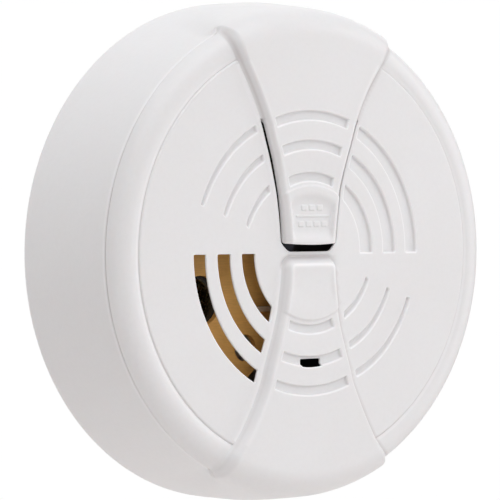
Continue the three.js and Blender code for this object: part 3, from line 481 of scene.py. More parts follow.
# stations along the body's profile (R, y) and the bow's, matched one to one
def stations():
    body, bow, shade = [], [], []

    def add(b, w):
        body.append(b)
        bow.append(w)

    yb = Y_FACE - RAISE
    # light and dark: painted highlight and painted shade for each row, on the petal's edge, the seam, the rim's start
    # and the groove line
    def row(b, w, light=0.0, dark=0.0):
        add(b, w)
        shade.append((light, dark))

    for R in (51.65, 51.9):
        row((R, Y_FACE), (R, yb))
    # the petal's rounded edge, the seam, and the start of the rounded rim
    row((52.08, Y_FACE + 0.02), (52.1, yb), 0.15)
    row((52.22, Y_FACE + 0.09), (52.3, yb), 0.15)
    row((52.32, Y_FACE + 0.22), (52.5, yb))
    row((52.40, Y_FACE + 0.36), (52.65, yb), 0, 0.3)
    row((52.52, Y_FACE + 0.40), (52.8, yb), 0, 0.3)
    row((52.68, Y_FACE + 0.34), (53.0, yb), 0.35)
    n = 22
    for i in range(n + 1):
        t = i / n
        a = math.radians(-18.0 + 84.0 * t)
        b = (RIM_C[0] + R_RIM * math.sin(a), RIM_C[1] - R_RIM * math.cos(a))
        # the bow's face runs flat, then turns over the shoulder
        w_a = max(0.0, (t - 0.12) / 0.88) * math.radians(80)
        w = (53.2 + (54.4 - 53.2) * min(1, t / 0.12), yb) if t < 0.12 else (54.4 + 6.95 * math.sin(w_a), yb + 7.5 - 7.5 * math.cos(w_a))
        row(b, w, 0.35 if i < 2 else 0)
    # the groove line, then the side wall
    for y, cut, light, dark in ((-29.70, 0.0, 0.6, 0), (-29.56, 0.06, 0.6, 0), (-29.44, 0.30, 0, 0.4), (-29.30, 0.52, 0, 1.0), (-29.16, 0.30, 0, 0.4),
                                (-29.04, 0.06, 0.6, 0), (-28.86, 0.0, 0.5, 0)):
        w_y = -29.1 + (y + 29.70) * 0.95
        row((wall_r(y) - cut, y), (bow_r(w_y), w_y), light, dark)
    for y in (-28.3, -27.4, -26.4, -25.2, -23.5, -21.0, -17.5, -14.0, -10.5, -7.0, -4.0, -2.4):
        row((wall_r(y), y), (bow_r(y), y))
    # rear edge, rounded, and the rear face of the wall
    for R, y in ((0.0, -1.4), (-0.02, -1.05), (-0.16, -0.72), (-0.4, -0.54), (-0.75, -0.5), (-1.3, -0.5), (-1.75, -0.5), (-1.93, -0.56), (-2.0, -0.8)):
        p = (wall_r(-1.4) + R if y < -1.2 else R_BACK - 0.06 + R, y)
        row(p, p)
    return np.array(body), np.array(bow), np.array(shade)


def bow_r(y):
    """Radius of the side wall where the bow runs down it: it stands proud of the rest, and less so towards the wall."""
    return float(np.interp(y, (-29.2, -26.0, -22.0, -14.0, -3.0, -1.4), (61.25, 61.7, 62.25, 63.2, 63.43, 63.41)))


BODY, BOW, SHADE = stations()
ROWS = len(BODY)


def sweep():
    """Outer grid: ROWS x columns of points, from the join outwards and back along the side wall."""
    depth = ring_depth()
    cols = len(depth)
    P = np.zeros((ROWS, cols, 3))
    m = flank(depth) / RAISE
    m[depth > 2.3] = 1.0
    a_foot = foot_angles(60.4)[int(np.argmin(np.abs(FLANK_D)))]
    for i in range(ROWS):
        Rb, Rw = BODY[i, 0], BOW[i, 0]
        a = ring_angles(min(Rb, 60.4))
        turn = a % math.pi
        turn = np.minimum(turn, math.pi - turn)
        dist = 60.4 * (a_foot - turn)
        # down the side wall the bow's flank melts into a broad swell
        p = min(1.0, max(0.0, (BODY[i, 1] + 29.5) / 24.0)) if i > 24 else 0.0
        q = min(1.0, max(0.0, (BODY[i, 1] + 30.2) / 3.2)) if i > 24 else 0.0
        wide = smooth((dist + 1.0 - 6.0 * p) / (6.0 + 9.0 * p))
        mm = m * (1 - q) + wide * q
        # the seam and the groove line stop at the bow's foot
        clear = smooth((depth + 0.12) / 0.26)
        flat = BODY[i, 1] + (Y_FACE - BODY[i, 1]) * clear if Rb < 54.6 and i < 30 else BODY[i, 1]
        whole = Rb + (wall_r(BODY[i, 1]) - Rb) * clear if -29.8 < BODY[i, 1] < -28.8 and i > 24 else Rb
        R = whole * (1 - mm) + Rw * mm
        y = flat * (1 - mm) + BOW[i, 1] * mm
        P[i, :, 0], P[i, :, 1], P[i, :, 2] = R * np.sin(a), y, R * np.cos(a)
    # painted highlight (light) and painted shade (dark) of the rows, kept off the bow
    open_ = 1 - smooth((depth + 0.12) / 0.26)
    light = SHADE[:, :1] * open_
    # the flank's shade runs on over the rim and dies at the groove line
    rows = np.arange(ROWS)[:, None]
    shade = np.where(P[:, :, 2] > 0, 0.45, 0.15) * np.exp(-(((depth - 0.5) / 0.3) ** 2))
    shade = np.maximum(shade, np.where(P[:, :, 0] > 0, 0.45, 0) * np.exp(-(((depth + 0.1) / 0.45) ** 2))) * smooth((32 - rows) / 8)
    dark = np.maximum(SHADE[:, 1:] * open_, shade)
    return P, light, dark, depth


# ------------------------------------------------------------------ triangulating the flat front
def ring_join():
    a = ring_angles(R_JOIN)
    return np.stack([R_JOIN * np.sin(a), R_JOIN * np.cos(a)], 1)


def thin(points, cell):
    """Drops points closer than about cell to an earlier one."""
    seen, keep = {}, []
    for i, (x, z) in enumerate(points):
        kx, kz = int(math.floor(x / cell)), int(math.floor(z / cell))
        near = False
        for dx in (-1, 0, 1):
            for dz in (-1, 0, 1):
                for j in seen.get((kx + dx, kz + dz), ()):
                    if (points[j, 0] - x) ** 2 + (points[j, 1] - z) ** 2 < cell * cell:
                        near = True
                        break
                if near:
                    break
            if near:
                break
        if not near:
            seen.setdefault((kx, kz), []).append(i)
            keep.append(i)
    return points[keep]


def flank_points(z_from, z_to, side, depths, step):
    """Rows of points beside the foot line, square to it, so that every row has its points abreast."""
    z = np.linspace(-56, 56, 8001)
    run = np.concatenate([[0], np.cumsum(np.hypot(np.diff(half(z)), np.diff(z)))])
    z = np.interp(np.arange(0, run[-1], step), run, z)
    s = np.interp(np.abs(z), _zf, _df) * np.sign(z)
    k = 1 / np.sqrt(1 + s * s)
    out = []
    for d in depths:
        p = np.stack([side * (half(z) - d * k), z + d * k * s], 1)
        # slide each point square to the line until it is at its depth
        for _ in range(3):
            miss = foot(p[:, 0], p[:, 1]) + d
            p = p - np.stack([side * k * miss, -s * k * miss], 1)
        out.append(p[(p[:, 1] > z_from) & (p[:, 1] < z_to)])
    return out


def triangulate(fixed_loops, clouds, inside, cell=0.075):
    """Delaunay over the loops (kept as edges) and clouds of points. inside(x, z) says which triangles stay. Returns the loops' points too."""
    pts, edges = [], []
    n = 0
    for loop in fixed_loops:
        k = len(loop)
        pts.append(loop)
        edges += [(n + i, n + (i + 1) % k) for i in range(k)]
        n += k
    fixed = np.vstack(pts)
    cloud = np.vstack(clouds)
    allp = thin(np.vstack([fixed, cloud]), cell)
    # the fixed points come first and are further apart than the cell, so they all stay
    assert len(allp) >= n and np.allclose(allp[:n], fixed), "a loop lost a point"
    res = delaunay_2d_cdt([Vector(p) for p in allp.tolist()], edges, [], 0, 1e-7)
    v = np.array([(p.x, p.y) for p in res[0]])
    f = np.array([t for t in res[2] if len(t) == 3])
    c = v[f].mean(1)
    f = f[inside(c[:, 0], c[:, 1])]
    a, b, d = v[f[:, 0]], v[f[:, 1]], v[f[:, 2]]
    area = (b[:, 0] - a[:, 0]) * (d[:, 1] - a[:, 1]) - (b[:, 1] - a[:, 1]) * (d[:, 0] - a[:, 0])
    f = f[np.abs(area) > 1e-9]
    area = area[np.abs(area) > 1e-9]
    f[area < 0] = f[area < 0][:, ::-1]
    used = np.unique(f)
    new = np.full(len(v), -1)
    new[used] = np.arange(len(used))
    ids, at = [], 0
    for loop in fixed_loops:
        near = [at + i for i in range(len(loop))]
        assert np.allclose(v[near], loop, atol=1e-5), "a loop moved"
        assert (new[near] >= 0).all(), "a loop lost its triangles"
        ids.append(new[near])
        at += len(loop)
    return v[used], new[f], ids


def feature_clouds(polys, levels, step):
    return [offset_points(p, d, step) for p in polys for d in levels]


def grid(r, step, jitter=0.0):
    a = np.arange(-r, r + step, step)
    x, z = np.meshgrid(a, a)
    x = x + (np.arange(len(a)) % 2)[:, None] * step / 2
    p = np.stack([x.ravel(), z.ravel()], 1)
    return p[np.hypot(*p.T) < r]


def mesh_object(name, verts, faces, attrs=None, smooth_faces=True):
    me = bpy.data.meshes.new(name)
    me.from_pydata((np.asarray(verts) * MM).tolist(), [], [list(map(int, q)) for q in faces])
    me.update()
    for key, values in (attrs or {}).items():
        at = me.attributes.new(key, "FLOAT", "POINT")
        at.data.foreach_set("value", np.asarray(values, np.float32))
    ob = bpy.data.objects.new(name, me)
    bpy.context.scene.collection.objects.link(ob)
    if smooth_faces:
        me.shade_smooth()
    return ob


GROOVE_LEVELS = (0.4, 0.14, 0.02, -0.12, -0.26, -0.4, -0.54, -0.75)
FLANK_ROWS = (2.9, 2.5, 2.15, 1.95, 1.75, 1.55, 1.35, 1.15, 0.95, 0.75, 0.55, 0.36, 0.2, 0.06, -0.05, -0.17, -0.4)
HOLE_LEVELS = (0.55, 0.34, 0.2, 0.09)


def far_from(points, polys, gap_in, gap_out):
    """Grid points that aren't in a feature's fine bands."""
    keep = np.ones(len(points), bool)
    for p in polys:
        s = signed(p, points[:, 0], points[:, 1])
        keep &= ~((s > -gap_in) & (s < gap_out))
    return points[keep]


def build_cover():
    w_root = np.vstack([[[_w2, Z_HINGE]], [[(_w0 + _w2) / 2, Z_HINGE]], ROOT, [[-(_w0 + _w1) / 2, Z_HINGE]], [[-_w1, Z_HINGE]]])
    loops = [ring_join(), open_loop(window, 0.3, w_root), resample(led_hole, 0.22)] + [resample(s, 0.26) for s in slots]
    grooves = blind + crescents + bow_low
    clouds = []
    clouds += feature_clouds(grooves, GROOVE_LEVELS, 0.3)
    top = feature_clouds(bow_up, GROOVE_LEVELS, 0.3)
    clouds += [c[c[:, 1] > Z_HINGE + 0.1] for c in top]
    clouds += feature_clouds(slots + [led_hole], HOLE_LEVELS, 0.3)
    clouds += feature_clouds([window], (0.45, 0.3, 0.15), 0.34)
    clouds.append(ROOT + [0, 0.14])
    for side in (-1, 1):
        clouds += flank_points(-51, -3.9, side, FLANK_ROWS, 0.34)
        clouds += flank_points(Z_HINGE + 0.25, 51, side, FLANK_ROWS, 0.34)
    # the lower bow's upper end
    for d in FLANK_ROWS:
        x = np.arange(-5.6, 5.61, 0.34)
        clouds.append(np.stack([x, np.full(len(x), LOW_TOP - d)], 1))
        for side in (-1, 1):
            r = 2.9 - d
            if r > 0.1:
                a = np.radians(np.linspace(4, 86, max(4, int(r * 1.57 / 0.3))))
                cx, cz = half(-3.9) - 2.9, LOW_TOP - 2.9
                clouds.append(np.stack([side * (cx + r * np.cos(a)), cz + r * np.sin(a)], 1))
    # the hollow's and the pads' own rows
    for z in (0.22, 0.0, -0.25, -0.5, -0.7):
        x = np.arange(-8, 8.1, 0.34)
        clouds.append(np.stack([x, np.full(len(x), z)], 1))
    for r in (17.2, 17.0, 16.82, 16.65, 16.48, 16.3, 16.0, 15.6, 15.3, 14.8, 14.0):
        p = arc(-0.7, 0, r, 232, 308, 0.4)
        clouds.append(p[foot(p[:, 0], p[:, 1]) < -1.0])
    g = grid(R_JOIN - 0.5, 1.2)
    g = far_from(g, grooves, 0.0, 0.6)
    fine = grid(R_JOIN - 0.5, 0.6)
    inside_groove = np.zeros(len(fine), bool)
    for p in grooves:
        inside_groove |= signed(p, fine[:, 0], fine[:, 1]) < -0.85
    clouds += [g, fine[inside_groove]]

    def clear(clouds):
        cloud = np.vstack([c for c in clouds if len(c)])
        cloud = cloud[np.hypot(*cloud.T) < R_JOIN - 0.22]
        for p, gap in [(window, 0.11), (led_hole, 0.07)] + [(s, 0.07) for s in slots]:
            s = signed(p, cloud[:, 0], cloud[:, 1])
            cloud = cloud[s > gap]
        return cloud

    def inside(x, z):
        ok = np.ones(x.shape, bool)
        for p in loops[1:]:
            ok &= signed(p, x, z) > 0
        return ok

    v, f, ids = triangulate(loops, [clear(clouds)], inside)
    h, frac, edge = relief(v[:, 0], v[:, 1], COVER_LOW)
    lip, lip_highlight = window_lip(v[:, 0], v[:, 1], window)
    away = smooth((Z_HINGE - 0.05 - v[:, 1]) / 0.6)
    h = h + lip * away
    # painted highlight along the window's lip
    edge = np.maximum(edge, lip_highlight * away)
    outer = np.stack([v[:, 0], Y_FACE - h, v[:, 1]], 1)
    # the inner face has its own, coarser mesh: it follows the bow but none of the grooves, and the skin thins towards each opening
    back = feature_clouds(slots + [led_hole], (1.4, 0.7), 0.8) + feature_clouds([window], (1.4, 0.7), 0.9)
    for side in (-1, 1):
        back += flank_points(-51, 51, side, (3.3, 2.4, 1.6, 0.8, 0.1), 0.9)
    back.append(grid(R_JOIN - 1.0, 1.9))
    w, g, wids = triangulate(loops, [clear(back)], inside)
    hw, _, _ = relief(w[:, 0], w[:, 1], COVER_LOW)
    hw = hw + window_lip(w[:, 0], w[:, 1], window)[0] * smooth((Z_HINGE - 0.05 - w[:, 1]) / 0.6)
    d = bow_inside(w[:, 0], w[:, 1], COVER_LOW)
    near = np.full(len(w), 9.0)
    for p in slots + [led_hole, window]:
        near = np.minimum(near, np.abs(signed(p, w[:, 0], w[:, 1])))
    near = np.where(np.abs(w[:, 1] - Z_HINGE) < 1.3, np.maximum(near, smooth((w[:, 1] - Z_HINGE + 1.3) / 1.3) * 1.4), near)
    skin = 0.45 + 1.05 * np.clip(near / 1.4, 0, 1)
    inner_h = flank(d - 0.75) - 1.5
    inner = np.stack([w[:, 0], Y_FACE - np.minimum(np.where(near < 1.4, np.maximum(inner_h, hw - skin), inner_h), hw - 0.4), w[:, 1]], 1)
    P, light, dark, depth = sweep()
    cols = P.shape[1]
    n = len(v)
    base = n + len(w)
    # inner wall: a coarser set of rows that follows the outside
    inner_rows = [(51.9, Y_FACE + 1.5), (54.2, -31.6), (56.6, -30.9), (58.3, -29.2), (wall_r(-27) - 2, -27.0), (wall_r(-14) - 2, -14.0)]
    m = flank(depth - 0.75) / RAISE
    m[depth > 2.3] = 1.0
    raise_at = [RAISE, RAISE * 0.95, RAISE * 0.55, 0.15, 0.0, 0.0]
    rows = []
    for (R, y), up in zip(inner_rows, raise_at):
        aa = ring_angles(min(R + 1.6, 60.4))
        rows.append(np.stack([R * np.sin(aa), y - up * m, R * np.cos(aa)], 1))
    Q = np.array(rows)
    base_q = base + ROWS * cols
    # seen from the front, -Y is outwards: x to the right and z up, counter-clockwise, has its normal along -Y
    faces = f.tolist() + (g[:, ::-1] + n).tolist()
    nxt = (np.arange(cols) + 1) % cols
    grid_ids = [ids[0]] + [base + i * cols + np.arange(cols) for i in range(ROWS)]
    for A, B in zip(grid_ids[:-1], grid_ids[1:]):
        faces += np.stack([A, B, B[nxt], A[nxt]], 1)[:, ::-1].tolist()
    inner_ids = [wids[0] + n] + [base_q + i * cols + np.arange(cols) for i in range(len(inner_rows))] + [grid_ids[-1]]
    for A, B in zip(inner_ids[:-1], inner_ids[1:]):
        faces += np.stack([A, B, B[nxt], A[nxt]], 1).tolist()
    for a, b in zip(ids[1:], wids[1:]):
        b = b + n
        a1, b1 = np.roll(a, -1), np.roll(b, -1)
        faces += np.stack([a, a1, b1, b], 1).tolist()
    # the edge attribute carries painted highlight, the second attribute painted shade
    return mesh_object("cover_shell", settle(np.vstack([outer, inner, P.reshape(-1, 3), Q.reshape(-1, 3)])), faces,
                       {"edge": np.concatenate([edge, np.zeros(len(w)), light.ravel(), np.zeros(Q.shape[0] * cols)]),
                        "painted_shade": np.concatenate([painted_shade(v, COVER_LOW), np.zeros(len(w)), dark.ravel(), np.zeros(Q.shape[0] * cols)])})


def build_tongue():
    poly = open_loop(tongue, 0.3, ROOT)
    clouds = feature_clouds(bow_up, GROOVE_LEVELS, 0.3)
    clouds += feature_clouds([tongue], (-0.12, -0.25, -0.45), 0.34)
    clouds.append(ROOT - [0, 0.14])
    for side in (-1, 1):
        clouds += flank_points(2.4, Z_HINGE, side, [d for d in FLANK_ROWS if d > 0.4], 0.34)
    for r in (17.2, 17.0, 16.82, 16.65, 16.48, 16.3, 16.0, 15.6, 15.3, 14.9, 14.4, 13.8, 13.2, 12.6):
        p = arc(-0.7, 0, r, 48, 132, 0.36)
        clouds.append(p[foot(p[:, 0], p[:, 1]) < -1.0])
    for z in (2.35, 2.7, 3.0, 3.3, 3.7, 4.1, 4.6, 5.2, 5.8):
        x = np.arange(-8, 8.1, 0.36)
        clouds.append(np.stack([x, np.full(len(x), z)], 1))
    g = grid(40, 0.9)
    g = far_from(g, bow_up, 0.7, 0.5)
    boxes = []
    for cx, cz, hx, hz in MARKS:
        for o in (0.3, 0.18, 0.05, -0.08, -0.2):
            boxes.append(resample(np.array([[cx - hx - o, cz - hz - o], [cx + hx + o, cz - hz - o], [cx + hx + o, cz + hz + o], [cx - hx - o, cz + hz + o]]), 0.2))
        g = g[np.maximum(np.abs(g[:, 0] - cx) - hx, np.abs(g[:, 1] - cz) - hz) > 0.5]
    clouds = boxes + clouds + [g]
    cloud = np.vstack([c for c in clouds if len(c)])
    s = signed(tongue, cloud[:, 0], cloud[:, 1])
    cloud = cloud[(s < -0.1) & (cloud[:, 1] < Z_HINGE - 0.1)]

    v, f, ids = triangulate([poly], [cloud], lambda x, z: signed(poly, x, z) < 0)
    h, frac, edge = relief(v[:, 0], v[:, 1])
    h = h + marks(v[:, 0], v[:, 1])
    lip, lip_highlight = window_lip(v[:, 0], v[:, 1], tongue, 0.32)
    away = smooth((Z_HINGE - 0.05 - v[:, 1]) / 0.6)
    h = h + lip * away
    # painted highlight along the tongue's lip
    edge = np.maximum(edge, 0.7 * lip_highlight * away)
    outer = np.stack([v[:, 0], Y_FACE - h, v[:, 1]], 1)
    d = bow_inside(v[:, 0], v[:, 1])
    inner_h = flank(d - 0.75) - 1.5
    join = smooth((v[:, 1] - 31.85) / 1.2)
    thin_edge = np.maximum(inner_h, np.minimum(0.05, h - 0.9))
    inner_h = inner_h * join + thin_edge * (1 - join)
    inner = np.stack([v[:, 0], Y_FACE - np.minimum(inner_h, h - 0.45), v[:, 1]], 1)
    n = len(v)
    a, b = ids[0], ids[0] + n
    a1, b1 = np.roll(a, -1), np.roll(b, -1)
    faces = f.tolist() + (f[:, ::-1] + n).tolist() + np.stack([a1, a, b, b1], 1).tolist()
    # the edge attribute carries painted highlight, the second attribute painted shade
    return mesh_object("test_tongue", settle(np.vstack([outer, inner])), faces,
                       {"edge": np.concatenate([edge, np.zeros(n)]), "painted_shade": np.concatenate([painted_shade(v), np.zeros(n)])})


cover_ob = build_cover()
tongue_ob = build_tongue()


def sharpen(ob, deg):
    ob.data.shade_smooth()
    ob.data.set_sharp_from_angle(angle=math.radians(deg))


for o in (cover_ob, tongue_ob):
    sharpen(o, 62)


# ------------------------------------------------------------------ materials
def node_material(name):
    m = bpy.data.materials.new(name)
    m.use_nodes = True
    nt = m.node_tree
    nt.nodes.clear()
    out = nt.nodes.new("ShaderNodeOutputMaterial")
    p = nt.nodes.new("ShaderNodeBsdfPrincipled")
    nt.links.new(p.outputs[0], out.inputs[0])
    coord = nt.nodes.new("ShaderNodeTexCoord")
    return m, nt, p, coord


def noise(nt, coord, scale, detail=4, rough=0.5, distortion=0.0):
    n = nt.nodes.new("ShaderNodeTexNoise")
    n.inputs["Scale"].default_value = scale
    n.inputs["Detail"].default_value = detail
    n.inputs["Roughness"].default_value = rough
    n.inputs["Distortion"].default_value = distortion
    nt.links.new(coord.outputs["Object"], n.inputs["Vector"])
    return n


def remap(nt, src, lo, hi, a=0.3, b=0.7):
    r = nt.nodes.new("ShaderNodeMapRange")
    r.inputs["From Min"].default_value = a
    r.inputs["From Max"].default_value = b
    r.inputs["To Min"].default_value = lo
    r.inputs["To Max"].default_value = hi
    nt.links.new(src, r.inputs["Value"])
    return r.outputs[0]


def colour_ramp(nt, src, stops):
    r = nt.nodes.new("ShaderNodeValToRGB")
    while len(r.color_ramp.elements) < len(stops):
        r.color_ramp.elements.new(0.5)
    for el, (pos, col) in zip(r.color_ramp.elements, stops):
        el.position = pos
        el.color = (*col, 1)
    nt.links.new(src, r.inputs[0])
    return r.outputs[0]


def mix(nt, fac, a, b, mode="MIX"):
    m = nt.nodes.new("ShaderNodeMix")
    m.data_type = "RGBA"
    m.blend_type = mode
    for sock, value in ((m.inputs[0], fac), (m.inputs[6], a), (m.inputs[7], b)):
        if isinstance(value, (int, float)):
            sock.default_value = value
        elif isinstance(value, tuple):
            sock.default_value = (*value, 1)
        else:
            nt.links.new(value, sock)
    return m.outputs[2]


def bump(nt, p, src, distance, strength=1.0):
    b = nt.nodes.new("ShaderNodeBump")
    b.inputs["Distance"].default_value = distance
    b.inputs["Strength"].default_value = strength
    nt.links.new(src, b.inputs["Height"])
    prev = p.inputs["Normal"].links
    if prev:
        nt.links.new(prev[0].from_socket, b.inputs["Normal"])
    nt.links.new(b.outputs[0], p.inputs["Normal"])
    return b


def attribute(nt, name):
    a = nt.nodes.new("ShaderNodeAttribute")
    a.attribute_name = name
    return a.outputs["Fac"]


def plastic(name, base, rough=(0.36, 0.46), grain=0.5, painted_light=False, sss=0.1, spread=0.012):
    """Satin moulded ABS: faint flow variation in colour, an uneven sheen, a fine moulded grain."""
    m, nt, p, coord = node_material(name)
    flow = noise(nt, coord, 22, 3, 0.55, 0.6)
    speck = noise(nt, coord, 900, 2, 0.6)
    lo = tuple(c * (1 - spread) for c in base)
    hi = tuple(min(1, c * (1 + spread)) for c in base)
    col = colour_ramp(nt, flow.outputs["Fac"], [(0.3, (lo[0], lo[1] * 0.998, lo[2] * 0.994)), (0.7, hi)])
    fine = colour_ramp(nt, speck.outputs["Fac"], [(0.25, (0.985, 0.984, 0.983)), (0.6, (1, 1, 1))])
    col = mix(nt, 1.0, col, fine, "MULTIPLY")
    if painted_light:
        # painted highlight from the edge attribute, a lighter colour; painted shade from the second attribute, a darker
        # and warmer colour
        col = mix(nt, attribute(nt, "edge"), col, tuple(min(1.0, c * 1.1 + 0.06) for c in base))
        col = mix(nt, attribute(nt, "painted_shade"), col, tuple(c * k for c, k in zip(base, (0.66, 0.61, 0.60))))
    nt.links.new(col, p.inputs["Base Color"])
    nt.links.new(remap(nt, noise(nt, coord, 140, 4, 0.6).outputs["Fac"], *rough), p.inputs["Roughness"])
    bump(nt, p, noise(nt, coord, 2600, 2, 0.6).outputs["Fac"], 0.00002 * grain, 0.35)
    bump(nt, p, noise(nt, coord, 160, 2, 0.5).outputs["Fac"], 0.00003, 0.25)
    if sss:
        p.inputs["Subsurface Weight"].default_value = sss
        p.inputs["Subsurface Radius"].default_value = (1.0, 0.55, 0.4)
        p.inputs["Subsurface Scale"].default_value = 0.0014
    p.inputs["IOR"].default_value = 1.5
    return m


MAT_COVER = plastic("cover_abs", (0.797, 0.79, 0.803), painted_light=True)
MAT_HOUSING = plastic("housing_abs", (0.77, 0.755, 0.74), (0.42, 0.55), 0.8, sss=0.05)
MAT_BRACKET = plastic("bracket_abs", (0.75, 0.74, 0.715), (0.45, 0.6), 1.0, sss=0.05)
MAT_DOOR = plastic("door_abs", (0.78, 0.77, 0.755), (0.38, 0.5), 0.8, sss=0.05)
MAT_BLACK = plastic("black_moulding", (0.018, 0.018, 0.02), (0.35, 0.55), 1.2, sss=0, spread=0.25)
MAT_RED = plastic("red_moulding", (0.50, 0.03, 0.02), (0.3, 0.45), 0.8, sss=0, spread=0.08)
MAT_FOOT = plastic("contact_foot_moulding", (0.62, 0.49, 0.37), (0.4, 0.6), 1.0, sss=0, spread=0.06)


def metal(name, base, rough=(0.22, 0.38), streak=True, tarnish=0.15):
    m, nt, p, coord = node_material(name)
    n1 = noise(nt, coord, 240, 5, 0.6, 0.4)
    dark = tuple(c * (1 - tarnish) for c in base)
    nt.links.new(colour_ramp(nt, n1.outputs["Fac"], [(0.3, dark), (0.72, base)]), p.inputs["Base Color"])
    nt.links.new(remap(nt, noise(nt, coord, 700, 4, 0.6).outputs["Fac"], *rough), p.inputs["Roughness"])
    p.inputs["Metallic"].default_value = 1.0
    if streak:
        mp = nt.nodes.new("ShaderNodeMapping")
        mp.inputs["Scale"].default_value = (1, 1, 30)
        nt.links.new(coord.outputs["Object"], mp.inputs["Vector"])
        s = nt.nodes.new("ShaderNodeTexNoise")
        s.inputs["Scale"].default_value = 120
        nt.links.new(mp.outputs[0], s.inputs["Vector"])
        bump(nt, p, s.outputs["Fac"], 0.00002, 0.3)
    return m


MAT_STEEL = metal("spring_steel", (0.60, 0.60, 0.61))
MAT_BLUED = metal("blued_spring", (0.05, 0.05, 0.06), (0.3, 0.45))
MAT_TIN = metal("tinned_steel", (0.68, 0.69, 0.70), (0.16, 0.3), False, 0.08)
MAT_BRASS = metal("brass_sheet", (0.78, 0.57, 0.27), (0.2, 0.35), False, 0.2)


def laminate():
    """Bare face of a brown paper-phenolic board: mottled resin, faint fibre lines and pressed grain."""
    m, nt, p, coord = node_material("board_laminate")
    big = noise(nt, coord, 60, 4, 0.6, 1.2)
    col = colour_ramp(nt, big.outputs["Fac"], [(0.25, (0.90, 0.50, 0.145)), (0.5, (0.96, 0.555, 0.17)), (0.8, (0.99, 0.605, 0.20))])
    mp = nt.nodes.new("ShaderNodeMapping")
    mp.inputs["Scale"].default_value = (1, 1, 14)
    nt.links.new(coord.outputs["Object"], mp.inputs["Vector"])
    fibre = nt.nodes.new("ShaderNodeTexNoise")
    fibre.inputs["Scale"].default_value = 420
    fibre.inputs["Detail"].default_value = 4
    nt.links.new(mp.outputs[0], fibre.inputs["Vector"])
    lines = colour_ramp(nt, fibre.outputs["Fac"], [(0.3, (0.88, 0.86, 0.83)), (0.65, (1, 1, 1))])
    nt.links.new(mix(nt, 1.0, col, lines, "MULTIPLY"), p.inputs["Base Color"])
    nt.links.new(remap(nt, fibre.outputs["Fac"], 0.42, 0.62), p.inputs["Roughness"])
    bump(nt, p, fibre.outputs["Fac"], 0.00003, 0.4)
    p.inputs["Specular IOR Level"].default_value = 0.5
    return m


MAT_BOARD = laminate()


def sleeve(name, base, band):
    m, nt, p, coord = node_material(name)
    n1 = noise(nt, coord, 90, 4, 0.55)
    lo = tuple(c * 0.85 for c in base)
    nt.links.new(colour_ramp(nt, n1.outputs["Fac"], [(0.3, lo), (0.7, base)]), p.inputs["Base Color"])
    nt.links.new(remap(nt, noise(nt, coord, 400, 3).outputs["Fac"], *band), p.inputs["Roughness"])
    bump(nt, p, noise(nt, coord, 900, 3).outputs["Fac"], 0.00003, 0.35)
    return m


MAT_SLEEVE = sleeve("capacitor_sleeve", (0.035, 0.11, 0.26), (0.25, 0.4))
MAT_GREEN = sleeve("green_dip", (0.05, 0.17, 0.065), (0.15, 0.3))
MAT_RESISTOR = sleeve("resistor_coat", (0.56, 0.41, 0.23), (0.3, 0.5))
MAT_CERAMIC = sleeve("piezo_ceramic", (0.74, 0.70, 0.58), (0.4, 0.6))
MAT_BATTERY = sleeve("battery_jacket", (0.045, 0.05, 0.057), (0.25, 0.4))
MAT_FOAM = sleeve("foam_pad", (0.05, 0.05, 0.055), (0.85, 0.98))
MAT_LENS = sleeve("lamp_lens", (0.33, 0.02, 0.015), (0.08, 0.16))

NODE_MATERIALS = {
    "rear_housing": MAT_HOUSING, "mounting_bracket": MAT_BRACKET, "battery_door": MAT_DOOR, "door_pad": MAT_FOAM,
    "battery_case": MAT_BATTERY, "battery_top": MAT_BLACK, "battery_reminder_lever": MAT_RED, "circuit_board": MAT_BOARD,
    "chamber_base": MAT_BLACK, "chamber_can": MAT_TIN, "chamber_collector": MAT_TIN, "source_holder": MAT_TIN,
    "sounder_body": MAT_BLACK, "sounder_disc": MAT_BRASS, "sounder_ceramic": MAT_CERAMIC, "signal_chip": MAT_BLACK,
    "capacitor_large": MAT_SLEEVE, "capacitor_small": MAT_SLEEVE, "capacitor_film": MAT_GREEN, "indicator_led": MAT_LENS,
    # the insulating sheet is black: a dark sheet behind the tongue standing in for the shade seen through the gap under
    # its tip
    "led_shroud": MAT_BLACK, "insulating_sheet": MAT_BLACK, "test_contact_leaf": MAT_BLUED, "test_contact_foot": MAT_FOOT, "test_contact_stud": MAT_BRASS,
}

# ------------------------------------------------------------------ what stands for what
cover_ob.data.materials.append(MAT_COVER)
tongue_ob.data.materials.append(MAT_COVER)
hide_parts("front_cover")
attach(cover_ob, "head")
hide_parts("test_button")
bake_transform(tongue_ob)

for name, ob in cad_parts.items():
    if ob.hide_render:
        continue
    mat = NODE_MATERIALS.get(name)
    if mat is None:
        mat = MAT_RESISTOR if name.startswith("resistor") else MAT_STEEL
    ob.data.materials.clear()
    ob.data.materials.append(mat)
    sharpen(ob, 33)
    width = {"rear_housing": 0.35, "mounting_bracket": 0.3, "battery_door": 0.3, "battery_case": 0.5}.get(name, 0.1)
    b = ob.modifiers.new("edges", "BEVEL")
    b.width = width * MM
    b.segments = 2
    b.limit_method = "ANGLE"
    b.angle_limit = math.radians(38)
    b.use_clamp_overlap = True
    b.harden_normals = False

# ------------------------------------------------------------------ stage, light, camera
def plane(name, pts, mat):
    me = bpy.data.meshes.new(name)
    me.from_pydata(pts, [], [list(range(len(pts)))])
    ob = bpy.data.objects.new(name, me)
    ob.data.materials.append(mat)
    bpy.context.scene.collection.objects.link(ob)
    return ob


def glow(name, col, strength):
    m = bpy.data.materials.new(name)
    m.use_nodes = True
    nt = m.node_tree
    nt.nodes.clear()
    out = nt.nodes.new("ShaderNodeOutputMaterial")
    e = nt.nodes.new("ShaderNodeEmission")
    e.inputs[0].default_value = (*col, 1)
    e.inputs[1].default_value = strength
    nt.links.new(e.outputs[0], out.inputs[0])
    return m


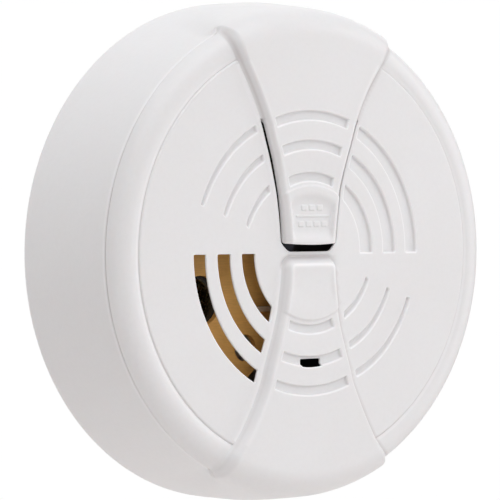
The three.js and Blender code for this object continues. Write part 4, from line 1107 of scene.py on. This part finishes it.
MAT_BACK = glow("backdrop_white", (1, 1, 1), 1.005)
MAT_FLOOR = sleeve("floor_pale", (0.97, 0.935, 0.915), (0.7, 0.8))
plane("backdrop", [(-4, 1.6, -1.2), (4, 1.6, -1.2), (4, 1.6, 4.5), (-4, 1.6, 4.5)], MAT_BACK)
plane("floor", [(-4, -3.5, -0.5), (4, -3.5, -0.5), (4, 1.6, -0.5), (-4, 1.6, -0.5)], MAT_FLOOR)

world = bpy.data.worlds.new("studio")
bpy.context.scene.world = world
world.use_nodes = True
world.node_tree.nodes["Background"].inputs[0].default_value = (1.0, 0.968, 0.95, 1)
world.node_tree.nodes["Background"].inputs[1].default_value = 0.27


def area(name, loc, target, size, energy, col=(1, 1, 1)):
    l = bpy.data.lights.new(name, "AREA")
    l.shape = "RECTANGLE"
    l.size, l.size_y = size
    l.energy = energy
    l.color = col
    ob = bpy.data.objects.new(name, l)
    ob.location = loc
    ob.rotation_mode = "QUATERNION"
    ob.rotation_quaternion = (Vector(loc) - Vector(target)).to_track_quat("Z", "Y")
    bpy.context.scene.collection.objects.link(ob)
    return ob


for name, loc, size, energy, tint in (("key", (-0.2, -1.1, 1.4), (1.8, 1.0), 14.0, (0.99, 1.0, 1.01)), ("overhead", (-0.1, -0.25, 1.6), (1.8, 1.2), 7.7, (0.965, 0.985, 1.0)),
                                      ("side", (1.6, -0.9, 0.3), (1.6, 1.6), 11.7, (0.995, 1.0, 1.005)), ("front", (-0.9, -1.6, 0.3), (1.8, 1.8), 4.2, (1, 1, 1)),
                                      ("back", (-1.0, 1.2, 0.6), (1.0, 1.4), 0.7, (1, 1, 1))):
    area(name, loc, (0, -0.02, 0), size, energy, tint)

scene = bpy.context.scene
scene.view_settings.view_transform = "Standard"
scene.view_settings.look = "None"

AZ, EL, DIST = math.radians(-39.81), math.radians(1.10), 0.7302
FOCAL_PX, CX, CY = 2931.9, 308.73, 252.64
centre = Vector((0, -0.0332, 0))
back = Vector((math.sin(AZ) * math.cos(EL), -math.cos(AZ) * math.cos(EL), math.sin(EL)))
cam_data = bpy.data.cameras.new("camera")
cam = bpy.data.objects.new("camera", cam_data)
scene.collection.objects.link(cam)
cam_data.sensor_width = 36.0
cam_data.lens = FOCAL_PX / 500 * 36.0
cam.location = centre + back * DIST
cam.rotation_mode = "QUATERNION"
q = (back).to_track_quat("Z", "Y")
# a small turn puts the face's centre where the frame has it, instead of a lens shift
from mathutils import Quaternion
yaw = math.atan((CX - 250) / FOCAL_PX)
pitch = math.atan((CY - 250) / FOCAL_PX)
cam.rotation_quaternion = q @ Quaternion((0, 1, 0), yaw) @ Quaternion((1, 0, 0), pitch)
cam_data.clip_start, cam_data.clip_end = 0.05, 20
scene.camera = cam
